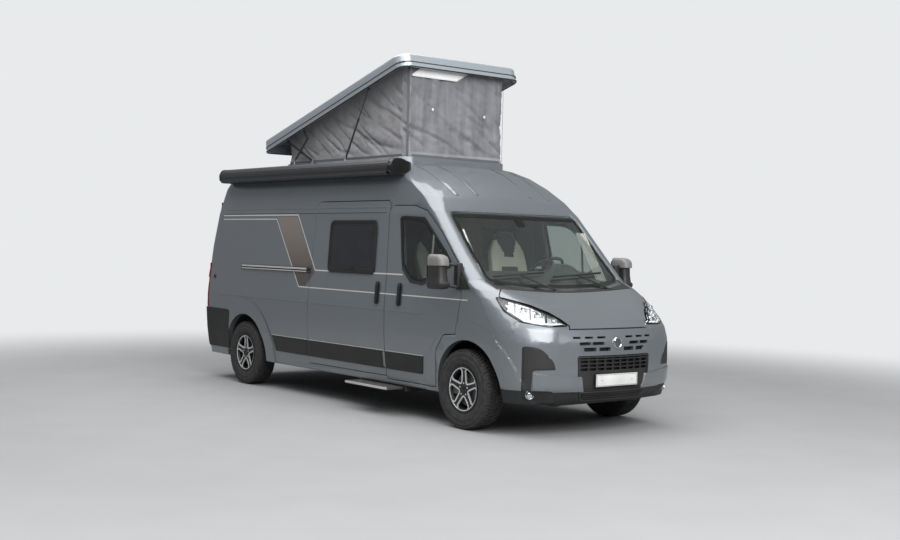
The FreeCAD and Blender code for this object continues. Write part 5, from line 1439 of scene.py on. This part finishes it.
class CAMPER_OT_seats(bpy.types.Operator):
    """Upholster the two cab seats with wings, inserts, heads, armrests and welts"""
    bl_idname = "camper.seats"
    bl_label = "Cab seats"

    def execute(self, context):
        hard = []
        for (hand, side), recline in zip(SIDES, (12.0, 23.0)):
            y = hand * 0.43
            pads = []
            for low, high, crown, pinch, cloth in SEAT_PADS:
                low, high = (low[0], y + low[1], low[2]), (high[0], y + high[1], high[2])
                pads.append(paint(cushion("pad", low, high, crown, pinch), cloth))
            pads.append(put(seat_back(0.93), (1.085, y, 0.905), turned(-recline)))
            for s in (1, -1):
                welt = tube("welt", [(a, y + s * b, c) for a, b, c in WELT], 0.004, 8, 4, True)
                pads.append(paint(welt, "seat_piping"))
            finish("seat_cover_" + side, pads, "body", "seat_trim")
            edge = y - hand * 0.245
            for low, high, bevel, material in (((1.12, y - 0.2, 0.8), (1.56, y + 0.2, 0.85), 0.015,
                    "plastic_interior"), ((1.17, y - 0.17, 0.545), (1.52, y + 0.17, 0.8), 0.02,
                    "plastic_interior"), ((1.45, edge - 0.008, 0.83), (1.58, edge + 0.008, 0.855), 0.006,
                    "plastic_black")):
                hard.append(paint(slab("frame", low, high, bevel), material))
            for arm_y in (y + 0.272, y - 0.272):
                arm = cushion("arm", (1.06, arm_y - 0.028, 1.125), (1.42, arm_y + 0.028, 1.175), 0.08, 0.7)
                hard.append(paint(arm, "seat_light"))
        finish("seat_frames", hard, "body", "seat_trim", "cab_seats")
        return {"FINISHED"}


WHEEL_Y = 0.43
WHEEL_CENTRE = (1.555, WHEEL_Y, 1.445)
WHEEL_RADIUS = 0.187
DASH_SPLIT_Z = 1.206
DIAL = [(0.0, -0.022), (0.016, -0.022), (0.019, -0.016), (0.02, 0.0), (0.0, 0.0)]
# Flat panels of the dashboard: across, height, finish, thickness and corner radius.
DASH_PANELS = [(-0.15, 0.13, 1.215, 1.375, "satin_black", 0.022, 0.015),
    (-0.135, 0.115, 1.23, 1.36, "gloss_black", 0.024, 0.008), (-0.14, 0.12, 0.89, 0.965, "plastic_black", 0.008,
    0.015)]
GLOVEBOX_PANELS = [(-0.8, -0.34, 0.79, 0.985, "plastic_interior", 0.008, 0.03),
    (-0.6, -0.52, 0.95, 0.97, "satin_black", 0.014, 0.006)]
VENTS = ((-0.8, -0.66), (-0.3, -0.18), (0.15, 0.245), (0.66, 0.8))


def dash_top():
    """The dashboard's upper half with the instrument hood, close under the windscreen."""
    screen = tree_of("windscreen")
    columns = []
    for i in range(75):
        y = -0.885 + 1.77 * i / 74
        point = hit(screen, (1.2, y, 1.372), (1, 0, 0))
        front = min(2.12, (point.x if point else 2.0) - 0.045)
        hood = math.exp(-((y - WHEEL_Y) / 0.175) ** 4)
        side = 1 - 0.5 * max(0.0, abs(y) - 0.7) / 0.185
        profile = [(front, DASH_SPLIT_Z), (front, 1.318), (front - 0.02, 1.334), (front - 0.1, 1.35),
            (1.9, 1.352 + 0.06 * side), (1.82, 1.385 + 0.045 * side + 0.075 * hood),
            (1.76, 1.392 + 0.04 * side + 0.08 * hood), (1.715 - 0.045 * hood,
            1.38 + 0.025 * side + 0.08 * hood), (1.702 - 0.04 * hood, 1.345 + 0.07 * hood),
            (1.722 - 0.015 * hood, 1.3 + 0.02 * hood), (1.712, 1.255), (1.735, DASH_SPLIT_Z)]
        columns.append([(x, y, z) for x, z in profile])
    obj = paint(lofted("dash_top", columns, 50, ends=True), "plastic_interior")
    modifier = obj.modifiers.new("Soft", "SUBSURF")
    modifier.levels = modifier.render_levels = 1
    return obj


def steering_wheel():
    """Rim with thumb rests, hub, spokes, column and stalks."""
    rings = []
    for k in range(96):
        a = 2 * math.pi * k / 96
        thick = 0.0148 + 0.0022 * max(0.0, math.cos(4 * a)) ** 2
        ring = []
        for m in range(16):
            b = 2 * math.pi * m / 16
            r = WHEEL_RADIUS + thick * math.cos(b)
            ring.append((thick * math.sin(b) * 1.1, r * math.cos(a), r * math.sin(a)))
        rings.append(ring)
    parts = [paint(lofted("rim", rings, loop=True), "wheel_leather"),
        paint(cushion("hub", (-0.03, -0.078, -0.07), (0.018, 0.078, 0.066), 0.12, 0.7), "plastic_interior")]
    for y0, z0, y1, z1 in ((0.06, 0.012, 0.18, 0.02), (-0.06, 0.012, -0.18, 0.02), (0.0, -0.05, 0.0, -0.18)):
        run = [(-0.006, y0, z0), (0.0, (y0 + y1) / 2, (z0 + z1) / 2), (0.0, y1, z1)]
        parts.append(paint(tube("spoke", run, 0.014, 12, 3), "alloy_bright"))
    for obj in parts:
        put(obj, WHEEL_CENTRE, turned(53))
    column = [(1.575, WHEEL_Y, 1.42), (1.66, WHEEL_Y, 1.34), (1.76, WHEEL_Y, 1.26)]
    parts.append(paint(tube("column", column, 0.038, 16, 3), "plastic_interior"))
    for s in (1, -1):
        run = [(1.62, WHEEL_Y + s * 0.03, 1.385), (1.6, WHEEL_Y + s * 0.1, 1.395),
            (1.59, WHEEL_Y + s * 0.165, 1.402)]
        parts.append(paint(tube("stalk", run, 0.008, 8, 3), "plastic_black"))
    return parts


class CAMPER_OT_cabin(bpy.types.Operator):
    """Dress the dashboard, steering wheel and folded blinds"""
    bl_idname = "camper.cabin"
    bl_label = "Cab interior"

    def execute(self, context):
        top = dash_top()
        data = top.data
        above = BVHTree.FromPolygons([v.co.copy() for v in data.vertices],
            [list(f.vertices) for f in data.polygons])
        below = tree_of("dashboard")
        parts = [top]

        def dash(p):
            return hit(above if p[1] > DASH_SPLIT_Z else below, (0.9, p[0], p[1]),
                (1, 0, 0)), Vector((-1, 0, 0))

        def panel(y0, y1, z0, z1, material, thick, radius):
            parts.append(plate(material, rounded(oblong(y0, y1, z0, z1), radius), dash, thick, step=0.03,
                bevel=min(0.003, thick * 0.45)))
        for values in DASH_PANELS:
            panel(*values)
        for y in (-0.085, -0.01, 0.065):
            dial = revolved("dial", DIAL, (dash((y, 0.928))[0].x, y, 0.928), "X", 28)
            parts.append(paint(dial, "plastic_interior"))
        # each vent is a dark plate, painted shade inside the vent, behind its four slats
        for y0, y1 in VENTS:
            panel(y0, y1, 1.23, 1.31, "lamp_dark", 0.012, 0.02)
            for k in range(4):
                z = 1.244 + 0.018 * k
                panel(y0 + 0.008, y1 - 0.008, z - 0.0025, z + 0.0025, "plastic_black", 0.018, 0.001)
        for values in GLOVEBOX_PANELS:
            panel(*values)
        finish("dashboard_details", parts, "body", "dash_plastic")
        finish("steering_wheel_grip", steering_wheel(), "body", "dash_plastic", "steering_wheel")
        pleats = []
        for s in (1, -1):
            for k in range(6):
                pleat = slab("pleat", (0, -0.004, 0), (0.01, 0.004, 0.6), 0.003, 2)
                put(pleat, (2.065 - 0.012 * k, s * (0.79 - 0.012 * k), 1.32), turned(-34.5))
                pleats.append(paint(pleat, "blind_cloth"))
        finish("folded_blinds", pleats, "body", "tent_fabric")
        return {"FINISHED"}


# ------------------------------------------------------------------ mirrors, tail, creases and step
MIRROR_Y = (1.125, 1.253)
MIRROR_ROUNDS = 40
CAP_FROM = 6
# Levels of a mirror's housing, as (height, share of its length, share of its width).
MIRROR_LEVELS = [(1.264, 0.5, 0.55), (1.272, 0.82, 0.84), (1.292, 0.98, 1.0), (1.318, 1.0, 1.0),
    (1.336, 0.78, 0.9), (1.4, 0.66, 0.88), (1.474, 0.62, 0.88), (1.48, 0.86, 0.96), (1.53, 0.82, 0.96),
    (1.556, 0.66, 0.88), (1.572, 0.4, 0.7), (1.579, 0.1, 0.42)]
MIRROR_BASE = [(-0.135, 1.5), (-0.105, 1.505), (0.078, 1.275), (-0.11, 1.262)]


def mirror_housing(hand, x0, x1):
    """A door mirror's shell with its painted cap, rounder towards the front."""
    y0, y1 = MIRROR_Y
    rings = []
    for z, gx, gy in MIRROR_LEVELS:
        ring = []
        for k in range(MIRROR_ROUNDS):
            a = 2 * math.pi * k / MIRROR_ROUNDS
            px, py = [math.copysign(abs(c) ** 0.42, c) for c in (math.cos(a), math.sin(a))]
            bulge = 0.012 * (1 - py * py) if px > 0 else 0.0
            long = px * (gx if px > 0 else 1 - 0.12 * (1 - gx))
            ring.append((x0 + (x1 - x0) * (0.5 + 0.5 * long) + bulge,
                hand * (y0 + (y1 - y0) * (0.5 + 0.5 * py * gy)), z))
        rings.append(ring)
    house = lofted("house", rings, 35, ends=True, mark=lambda level, face: int(level >= CAP_FROM))
    return paint(house, "mirror_black", "mirror_cap")


class CAMPER_OT_mirrors(bpy.types.Operator):
    """Model the door mirrors with their housings, caps, arms and glass"""
    bl_idname = "camper.mirrors"
    bl_label = "Door mirrors"

    def execute(self, context):
        for hand, side in SIDES:
            x0, x1 = fx(-0.276), fx(-0.049)
            parts = [mirror_housing(hand, x0, x1)]
            a, b = hand * (MIRROR_Y[0] + 0.016), hand * (MIRROR_Y[1] - 0.014)
            for low, high, radius in ((1.345, 1.548, 0.018), (1.282, 1.334, 0.012)):
                loop = rounded(oblong(a, b, low, high), radius)
                parts.append(plate("mirror_glass", loop, across_x(x0 + 0.004, -1), 0.006, -0.003, step=0.05,
                    bevel=0.001))
            for z, radius in ((1.305, 0.0165), (1.5, 0.0125)):
                run = [(fx(-0.165), hand * 1.15, z), (fx(-0.125), hand * 1.09, z - 0.008),
                    (fx(-0.075), hand * 1.028, z - 0.018)]
                parts.append(paint(tube("arm", run, radius, 12, 3), "plastic_black"))
            door = on_side(hand, "cab_door_" + side, "door_glass_" + side)
            parts.append(plate("plastic_black", rounded(row(MIRROR_BASE), 0.014), door, 0.02, step=0.025,
                bevel=0.006))
            near, far = sorted((hand * 0.985, hand * 1.045))
            post = slab("post", (fx(-0.125), near, 1.28), (fx(-0.055), far, 1.505), 0.014)
            parts.append(paint(post, "plastic_black"))
            finish("door_mirror_" + side, parts, "cab_door_" + side, "black_plastic", "mirror_" + side)
        return {"FINISHED"}


HINGES_Z = (0.8, 1.3, 2.08)
PRESSINGS_Z = ((0.64, 0.842), (0.842, 1.205))
LAMP_CELLS = ((0.862, 0.955, "lens_red"), (0.962, 1.045, "lens_white"), (1.052, 1.165, "lens_amber"),
    (1.172, 1.384, "lens_red"))
SENSOR = [(0.0, -0.003), (0.01, -0.003), (0.012, 0.0), (0.0, 0.0)]
SENSOR_Z = 0.6


class CAMPER_OT_rear(bpy.types.Operator):
    """Add the rear lamps, hinges, door handle, blank plate, reflectors and sensors"""
    bl_idname = "camper.rear"
    bl_label = "Rear details"

    def execute(self, context):
        place = on_end(-1, "rear_door_left", "rear_door_right", "body_side_left", "body_side_right",
            "tail_lamps", "rear_bumper", "roof_panel")
        fixed = []
        for hand, side in SIDES:
            parts = []
            for z in HINGES_Z:
                near, far = hand * 0.845, hand * 0.925
                leaf = rounded([(near, z - 0.03), (far, z - 0.036), (far, z + 0.036), (near, z + 0.03)], 0.012)
                parts.append(plate("plastic_black", leaf, place, 0.009, step=0.02, bevel=0.003))
            for low, high in PRESSINGS_Z:
                loop = rounded(oblong(hand * 0.045, hand * 0.84, low + 0.012, high - 0.012), 0.03)
                parts.append(frame_of("paint_plain", loop, 0.0, 0.012, place, 0.0035, step=0.06, bevel=0.0015))
            if hand < 0:
                cup = rounded([(-0.06, 0.965), (-0.175, 0.965), (-0.175, 1.085), (-0.06, 1.085)], 0.02)
                grip = rounded([(-0.07, 1.015), (-0.165, 1.015), (-0.165, 1.05), (-0.07, 1.05)], 0.01)
                parts.append(plate("plastic_black", shrunk(cup, -0.008), place, 0.006, step=0.03, bevel=0.003))
                parts.append(plate("satin_black", grip, place, 0.024, step=0.03, bevel=0.006))
            else:
                board = rounded(oblong(0.15, 0.69, 0.88, 1.01), 0.008)
                light = rounded([(0.2, 1.03), (0.64, 1.03), (0.62, 1.062), (0.22, 1.062)], 0.01)
                parts += [plate("plastic_black", shrunk(board, -0.01), place, 0.008, step=0.05, bevel=0.003),
                    plate("plate_white", shrunk(board, 0.006), place, 0.0105, step=0.05, bevel=0.001),
                    plate("plastic_black", light, place, 0.018, bevel=0.006)]
            finish("rear_door_details_" + side, parts, "rear_door_" + side, "black_plastic")
            # lamp cluster: red, white, amber and red windows
            for low, high, lens in LAMP_CELLS:
                loop = rounded(oblong(hand * 0.955, hand * 1.01, low, high), 0.01)
                fixed.append(plate(lens, loop, place, 0.0045, step=0.02, bevel=0.0018))
        high_stop = rounded([(-0.16, 2.352), (0.16, 2.352), (0.15, 2.38), (-0.15, 2.38)], 0.008)
        fixed.append(plate("lens_red", high_stop, place, 0.008, step=0.03, bevel=0.003))
        bumper = on_end(-1, "rear_bumper")
        for hand, _ in SIDES:
            spot = rounded(oblong(hand * 0.62, hand * 0.76, 0.47, 0.512), 0.01)
            fixed.append(plate("lens_red", spot, bumper, 0.004, step=0.02, bevel=0.001))
            for y in (0.3, 0.78):
                point, _ = bumper((hand * y, SENSOR_Z))
                if point is not None:
                    eye = revolved("sensor", SENSOR, (point.x, hand * y, SENSOR_Z), "X", 24)
                    fixed.append(paint(eye, "satin_black"))
        finish("rear_details", fixed, "body", "lamp_red")
        return {"FINISHED"}


# Creases of a side: height, half width, thickness and finish.
# the dark line at 1.972 m is painted shade under the roof step, along the joint there
CREASES = [(2.03, 0.01, 0.003, "paint_plain"), (1.972, 0.0035, 0.001, "joint_dark"),
    (1.024, 0.012, 0.0035, "paint_striped")]


class CAMPER_OT_body_lines(bpy.types.Operator):
    """Raise the side creases, the dark line of painted shade at the roof step's joint, and the cab roof's ribs
    over the paint
    """
    bl_idname = "camper.body_lines"
    bl_label = "Creases and joints"

    def execute(self, context):
        for hand, side in SIDES:
            door = "cab_door_" + side
            place = on_side(hand, "body_side_" + side, door, *(["sliding_door"] if hand < 0 else []))
            spans = [("body", -4.7, -2.6535), (BODY_OF["sliding_door"], -2.645, -1.2285),
                (door, -1.2165, -0.62)]
            if hand > 0:
                spans = [("body", -4.7, -1.2285), (door, -1.2165, -0.62)]
            for body, x0, x1 in spans:
                parts = []
                for z, half, thick, material in CREASES:
                    high, tail = z > 1.5, x0 < -4.6
                    if high and body == door:
                        continue
                    start = x0 + ((0.0 if high else 0.06) if tail else 0.004)
                    strip = row(oblong(start, x1 - 0.004, z - half, z + half))
                    parts.append(plate(material, strip, place, thick, step=0.05, bevel=thick * 0.45))
                finish("creases_%s_%d" % (side, int(-x0 * 100)), parts, body, "body_paint")
        # long ribs over the cab
        from_above = looked_at(tree_of("roof_panel", "body_side_left", "body_side_right"),
            lambda p: (p[0], p[1], 3.4), (0.35, 0, 0.94), (0, 0, -1))
        parts = []
        for y in (-0.62, -0.36, 0.36, 0.62):
            rib = rounded([(0.78, y - 0.03), (1.4, y * 0.97 - 0.026), (1.4, y * 0.97 + 0.026),
                (0.78, y + 0.03)], 0.02)
            parts.append(plate("paint_plain", rib, from_above, 0.006, bevel=0.0028))
        finish("cab_roof_ribs", parts, "body", "roof_paint")
        return {"FINISHED"}


class CAMPER_OT_step(bpy.types.Operator):
    """Add the entry step's bright edge and dark grip grooves"""
    bl_idname = "camper.step"
    bl_label = "Entry step"

    def execute(self, context):
        low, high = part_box("entry_step")
        top = high.z + 0.0001
        edge = slab("edge", (low.x + 0.004, low.y - 0.004, low.z + 0.003), (high.x - 0.004, low.y + 0.01, top),
            0.003)
        groove = slab("groove", (low.x + 0.03, low.y + 0.02, high.z - 0.0012),
            (high.x - 0.03, low.y + 0.024, top), 0.0003, 2)
        grooves = repeated(groove, context.scene.camper_looks.step_grooves, "satin_black",
            step=(0.0, 0.014, 0.0))
        finish("step_tread", [paint(edge, "alu_bright"), grooves], "entry_step", "step_aluminium")
        return {"FINISHED"}


# ------------------------------------------------------------------ settings, materials and stage
# CAD nodes that a modelled piece stands for.
REPLACED = {"headlamps", "slide_rail", "roof_tent", "cab_seats", "steering_wheel", "mirror_left",
    "mirror_right"}
REPLACED |= {piece + end + side for piece in ("tyre_", "rim_") for end in ("front_", "rear_") for _,
    side in SIDES}

# Plastics: colour, roughness, grain per metre, grain strength and dust.
PLASTICS = {
    "plastic_black": ((24, 25, 25), 0.55, 900.0, 0.25, 0.2),
    "plastic_interior": ((46, 48, 48), 0.55, 900.0, 0.25, 0.1),
    "board": ((118, 113, 104), 0.5, 40.0, 0.05, 0.0),
    "alloy_black": ((12, 12, 13), 0.42, 500.0, 0.02, 0.05),
    "gloss_black": ((12, 12, 13), 0.12, 400.0, 0.02, 0.1),
    "satin_black": ((20, 20, 21), 0.32, 700.0, 0.06, 0.3),
    "lamp_dark": ((10, 10, 11), 0.4, 500.0, 0.1, 0.1),
    "plate_white": ((196, 197, 195), 0.35, 200.0, 0.03, 0.1),
    "plate_edge": ((30, 30, 32), 0.4, 900.0, 0.25, 0.4),
    "tent_binding": ((82, 83, 86), 0.8, 500.0, 0.2, 0.1),
    "roof_light": ((232, 231, 229), 0.4, 60.0, 0.03, 0.0),
    "light_frame": ((205, 205, 205), 0.5, 200.0, 0.05, 0.0),
    "glass_border": ((14, 14, 15), 0.18, 400.0, 0.02, 0.0),
    "window_pane": ((27, 29, 33), 0.08, 30.0, 0.02, 0.25),
    # dark lamp housings, and painted shade as dark plates inside the grille, slots, intake, vents and handle
    # recesses
    "mirror_black": ((34, 33, 33), 0.45, 900.0, 0.12, 0.1),
    "trim_black": ((12, 12, 13), 0.42, 700.0, 0.06, 0.1),
    "divider_grey": ((96, 95, 94), 0.45, 900.0, 0.1, 0.1),
    "mirror_cap": ((104, 103, 101), 0.42, 900.0, 0.1, 0.1),
    "lens_red": ((150, 16, 14), 0.1, 120.0, 0.1, 0.2),
    "lens_amber": ((214, 106, 16), 0.1, 120.0, 0.1, 0.2),
    "lens_white": ((214, 214, 212), 0.1, 120.0, 0.1, 0.2),
    # a dark joint colour, also painted shade: the line under the roof step on each side
    "joint_dark": ((34, 35, 36), 0.6, 300.0, 0.05, 0.2),
    "lens_milky": ((232, 236, 240), 0.15, 200.0, 0.05, 0.0),
}
# Metals: colour, roughness, drawn lines, metallic share and dust.
METALS = {
    "alu_awning": ((92, 92, 94), 0.36, 0.05, 0.8, 0.2),
    "alu_step": ((170, 170, 168), 0.35, 0.1, 1.0, 0.2),
    "steel_frame": ((58, 58, 58), 0.6, 0.0, 0.4, 0.6),
    "steel_bare": ((150, 148, 145), 0.35, 0.1, 1.0, 0.2),
    "engine": ((110, 110, 108), 0.5, 0.0, 0.7, 0.2),
    "alloy": ((190, 192, 194), 0.25, 0.05, 1.0, 0.2),
    "alloy_bright": ((222, 224, 226), 0.32, 0.05, 0.5, 0.03),
    "reflector": ((228, 230, 232), 0.1, 0.0, 1.0, 0.0),
    "chrome": ((214, 216, 218), 0.08, 0.0, 1.0, 0.05),
    "disc_grey": ((120, 122, 126), 0.25, 0.05, 0.8, 0.05),
    # bright aluminium, also used as painted highlight: the strips on the flank trims' top edges and the sliding
    # door rail
    "alu_bright": ((210, 208, 205), 0.32, 0.05, 0.4, 0.05),
    "mirror_glass": ((170, 176, 182), 0.03, 0.0, 1.0, 0.0),
}
GLASSES = {"glass_dark": (150, 158, 156), "glass_screen": (226, 234, 230), "lamp_clear": (240, 244, 246),
    "lamp_red": (150, 12, 10), "lens_clear": (250, 252, 253)}
# The finish of each slot's CAD pieces, and of the few pieces that differ from their slot's.
SLOT_FINISH = {
    "body_paint": "paint_striped", "roof_paint": "paint_plain", "bonnet_paint": "paint_plain",
    "black_plastic": "plastic_black", "awning_aluminium": "alu_awning", "step_aluminium": "alu_step",
    "glazing": "glass_dark", "windscreen_glass": "glass_screen", "lamp_clear": "lamp_clear",
    "lamp_red": "lamp_red", "dash_plastic": "plastic_interior", "seat_trim": "seat_light",
    "furniture_board": "board", "frame_steel": "steel_frame", "engine_cast": "engine",
    "bare_steel": "steel_bare", "tyre_rubber": "rubber", "wheel_alloy": "alloy",
    "tent_fabric": "tent_cloth", "tank_plastic": "plastic_black"}
# the raised shell takes the lightened copy of the body paint, which is painted light
NODE_FINISH = {"bumper_skirt": "skirt_paint", "pop_roof": "paint_shell_painted_light", "gas_strut_rods": "satin_black"}


def colour_setting(label, description, *screen):
    """A colour that a user can change, given as 0 to 255 screen values."""
    return bpy.props.FloatVectorProperty(name=label, description=description, subtype="COLOR", size=3, min=0.0,
        max=1.0, default=rgb(*screen)[:3])


class LooksSettings(bpy.types.PropertyGroup):
    """Sizes and colours that a user would change."""
    body_colour: colour_setting("Body paint", "Colour of the sides, front and doors", 120, 126, 131)
    tent_colour: colour_setting("Tent cloth", "Colour of the tent's coated cloth", 136, 136, 139)
    panel_colour: colour_setting("Tent panel", "Colour of the tent's clear front panel", 120, 121, 125)
    seat_colour: colour_setting("Seat cloth", "Colour of the cab seats' outer cloth", 206, 200, 188)
    insert_colour: colour_setting("Seat inserts", "Colour of the cab seats' middle panels and heads", 58, 58,
        62)
    backdrop_colour: colour_setting("Backdrop", "Colour of the studio behind the van", 232, 234, 236)
    tread_blocks: bpy.props.IntProperty(name="Tread blocks",
        description="Blocks in each ring of a tyre's tread", default=68, min=12, max=120)
    step_grooves: bpy.props.IntProperty(name="Step grooves", description="Grip grooves across the entry step",
        default=14, min=1, max=18)
    lens_length: bpy.props.FloatProperty(name="Camera lens", description="Focal length of the stage's camera",
        default=48.96, min=10.0, unit="CAMERA")


class CAMPER_OT_materials(bpy.types.Operator):
    """Build every paint, plastic, glass, metal and cloth, and put them on the CAD pieces"""
    bl_idname = "camper.materials"
    bl_label = "Materials"

    def execute(self, context):
        looks = context.scene.camper_looks
        body, tent, panel, seat, insert = [(*colour, 1.0) for colour in (looks.body_colour, looks.tent_colour,
            looks.panel_colour, looks.seat_colour, looks.insert_colour)]
        for make in (road_dust, fine_grain, cloth_weave, stripe_masks):
            made = make()
            GROUPS[made.name] = made
        paint_material("paint_striped", body, striped=True)
        paint_material("paint_plain", body)
        # the raised shell's paint is the body paint made 2.2 times lighter: painted light for the brighter
        # light on the shell
        paint_material("paint_shell_painted_light", shaded(body, 2.2), flake=0.03)
        skirt_material("skirt_paint", body)
        for name, (colour, *values) in PLASTICS.items():
            plastic_material(name, rgb(*colour), *values)
        for name, (colour, *values) in METALS.items():
            metal_material(name, rgb(*colour), *values)
        for name, colour in GLASSES.items():
            glass_material(name, rgb(*colour))
        cloth_material("seat_light", seat)
        cloth_material("seat_dark", insert, 900.0)
        cloth_material("seat_piping", rgb(196, 190, 178), 2200.0)
        cloth_material("blind_cloth", rgb(205, 203, 196), 1800.0)
        tent_material("tent_cloth", tent, 0.0)
        tent_material("tent_panel", panel, 1.0)
        rubber_material("rubber")
        rubber_material("wheel_leather")
        for name, obj in NODES.items():
            material = NODE_FINISH.get(name, SLOT_FINISH[SLOT_OF[name]])
            obj.data.materials.clear()
            obj.data.materials.append(MATERIALS[material])
            if name not in REPLACED:
                smoothed(name, material)
        return {"FINISHED"}


def backdrop_strength(tree):
    """Full strength where the backdrop is seen, also through glass, and soft where it only lights things."""
    path = add(tree, "ShaderNodeLightPath")
    seen = calc(tree, "MAXIMUM", path.outputs["Is Camera Ray"], path.outputs["Is Transmission Ray"])
    return plus(tree, 0.3, times(tree, seen, 0.7))


# Lamps: size, power in watts, place and aim in metres.
LAMPS = {"key": ((11.0, 8.0), 1750.0, (12.0, -2.5, 8.0), (1.0, 0.0, 1.2)),
         "top": ((15.0, 11.0), 1450.0, (-0.5, -1.6, 9.5), (0.0, -0.4, 1.0)),
         "side": ((8.0, 5.0), 110.0, (8.0, -10.0, 8.0), (1.8, 0.0, 1.2))}
CAMERA_PLACE = (10.616, -7.967, 1.65)
CAMERA_TURN = (141.62, -1.09, 1.42)
SENSOR_WIDTH = 36.0


class CAMPER_OT_stage(bpy.types.Operator):
    """Lay the floor, hang the lamps and set the camera"""
    bl_idname = "camper.stage"
    bl_label = "Stage"

    def execute(self, context):
        scene = context.scene
        backdrop = (*scene.camper_looks.backdrop_colour, 1.0)
        scene.view_settings.view_transform = "Standard"
        tree, shader = begin("floor_pale")
        coords = object_place(tree)
        base = mixed(tree, mottle(tree, coords, 1.5, 6.0), FLOOR_DARK, FLOOR_PALE)
        feed(tree, shader, {"Base Color": base, "Roughness": 0.8, "Specular IOR Level": 0.1})
        far = add(tree, "ShaderNodeVectorMath", {0: coords}, operation="LENGTH").outputs["Value"]
        glow = add(tree, "ShaderNodeEmission", {"Color": backdrop, "Strength": backdrop_strength(tree)})
        blend = add(tree, "ShaderNodeMixShader", {0: smooth(tree, far, 4.5, 11.0), 1: shader.outputs[0],
            2: glow.outputs[0]})
        output = next(n for n in tree.nodes if n.type == "OUTPUT_MATERIAL")
        feed(tree, output, {"Surface": blend.outputs[0]})
        bm = bmesh.new()
        bmesh.ops.create_grid(bm, x_segments=8, y_segments=8, size=90)
        paint(new_object("floor", mesh_of(bm, "floor")), "floor_pale")
        world = scene.world = bpy.data.worlds.new("Studio")
        world.use_nodes = True
        tree = world.node_tree
        feed(tree, tree.nodes["Background"], {"Color": backdrop, "Strength": backdrop_strength(tree)})
        for name, (size, power, place, aim) in LAMPS.items():
            data = bpy.data.lights.new(name, "AREA")
            data.shape, data.size, data.size_y, data.energy = "RECTANGLE", *size, power
            obj = new_object(name, data)
            obj.location = place
            obj.rotation_euler = (Vector(aim) - Vector(place)).to_track_quat("-Z", "Y").to_euler()
        yaw, pitch, roll = [math.radians(angle) for angle in CAMERA_TURN]
        ahead = Vector((math.cos(yaw) * math.cos(pitch), math.sin(yaw) * math.cos(pitch), math.sin(pitch)))
        right = ahead.cross(Vector((0, 0, 1))).normalized()
        up = right.cross(ahead)
        side = right * math.cos(roll) + up * math.sin(roll)
        top = up * math.cos(roll) - right * math.sin(roll)
        data = bpy.data.cameras.new("Camera")
        data.sensor_width, data.lens, data.clip_end = SENSOR_WIDTH, scene.camper_looks.lens_length, 200.0
        camera = scene.camera = new_object("Camera", data)
        axes = Matrix((side, top, -ahead)).transposed().to_4x4()
        camera.matrix_world = Matrix.Translation(CAMERA_PLACE) @ axes
        return {"FINISHED"}


OPERATORS = [CAMPER_OT_materials, CAMPER_OT_wheels, CAMPER_OT_headlamps, CAMPER_OT_front, CAMPER_OT_side,
    CAMPER_OT_tent, CAMPER_OT_awning, CAMPER_OT_roof, CAMPER_OT_windows, CAMPER_OT_seats, CAMPER_OT_cabin,
    CAMPER_OT_mirrors, CAMPER_OT_rear, CAMPER_OT_body_lines, CAMPER_OT_step, CAMPER_OT_stage]


class CAMPER_PT_looks(bpy.types.Panel):
    """The van's settings and the buttons of its steps"""
    bl_idname = "CAMPER_PT_looks"
    bl_label = "Camper van"
    bl_space_type = "VIEW_3D"
    bl_region_type = "UI"
    bl_category = "Camper van"

    def draw(self, context):
        for key in LooksSettings.__annotations__:
            self.layout.prop(context.scene.camper_looks, key)
        for operator in OPERATORS:
            self.layout.operator(operator.bl_idname)


CLASSES = [LooksSettings] + OPERATORS + [CAMPER_PT_looks]


def register():
    for cls in CLASSES:
        bpy.utils.register_class(cls)
    bpy.types.Scene.camper_looks = bpy.props.PointerProperty(type=LooksSettings)


def unregister():
    del bpy.types.Scene.camper_looks
    for cls in reversed(CLASSES):
        bpy.utils.unregister_class(cls)


def main():
    register()
    for operator in OPERATORS:
        group_name, call = operator.bl_idname.split(".")
        getattr(getattr(bpy.ops, group_name), call)()


if __name__ == "__main__":
    main()
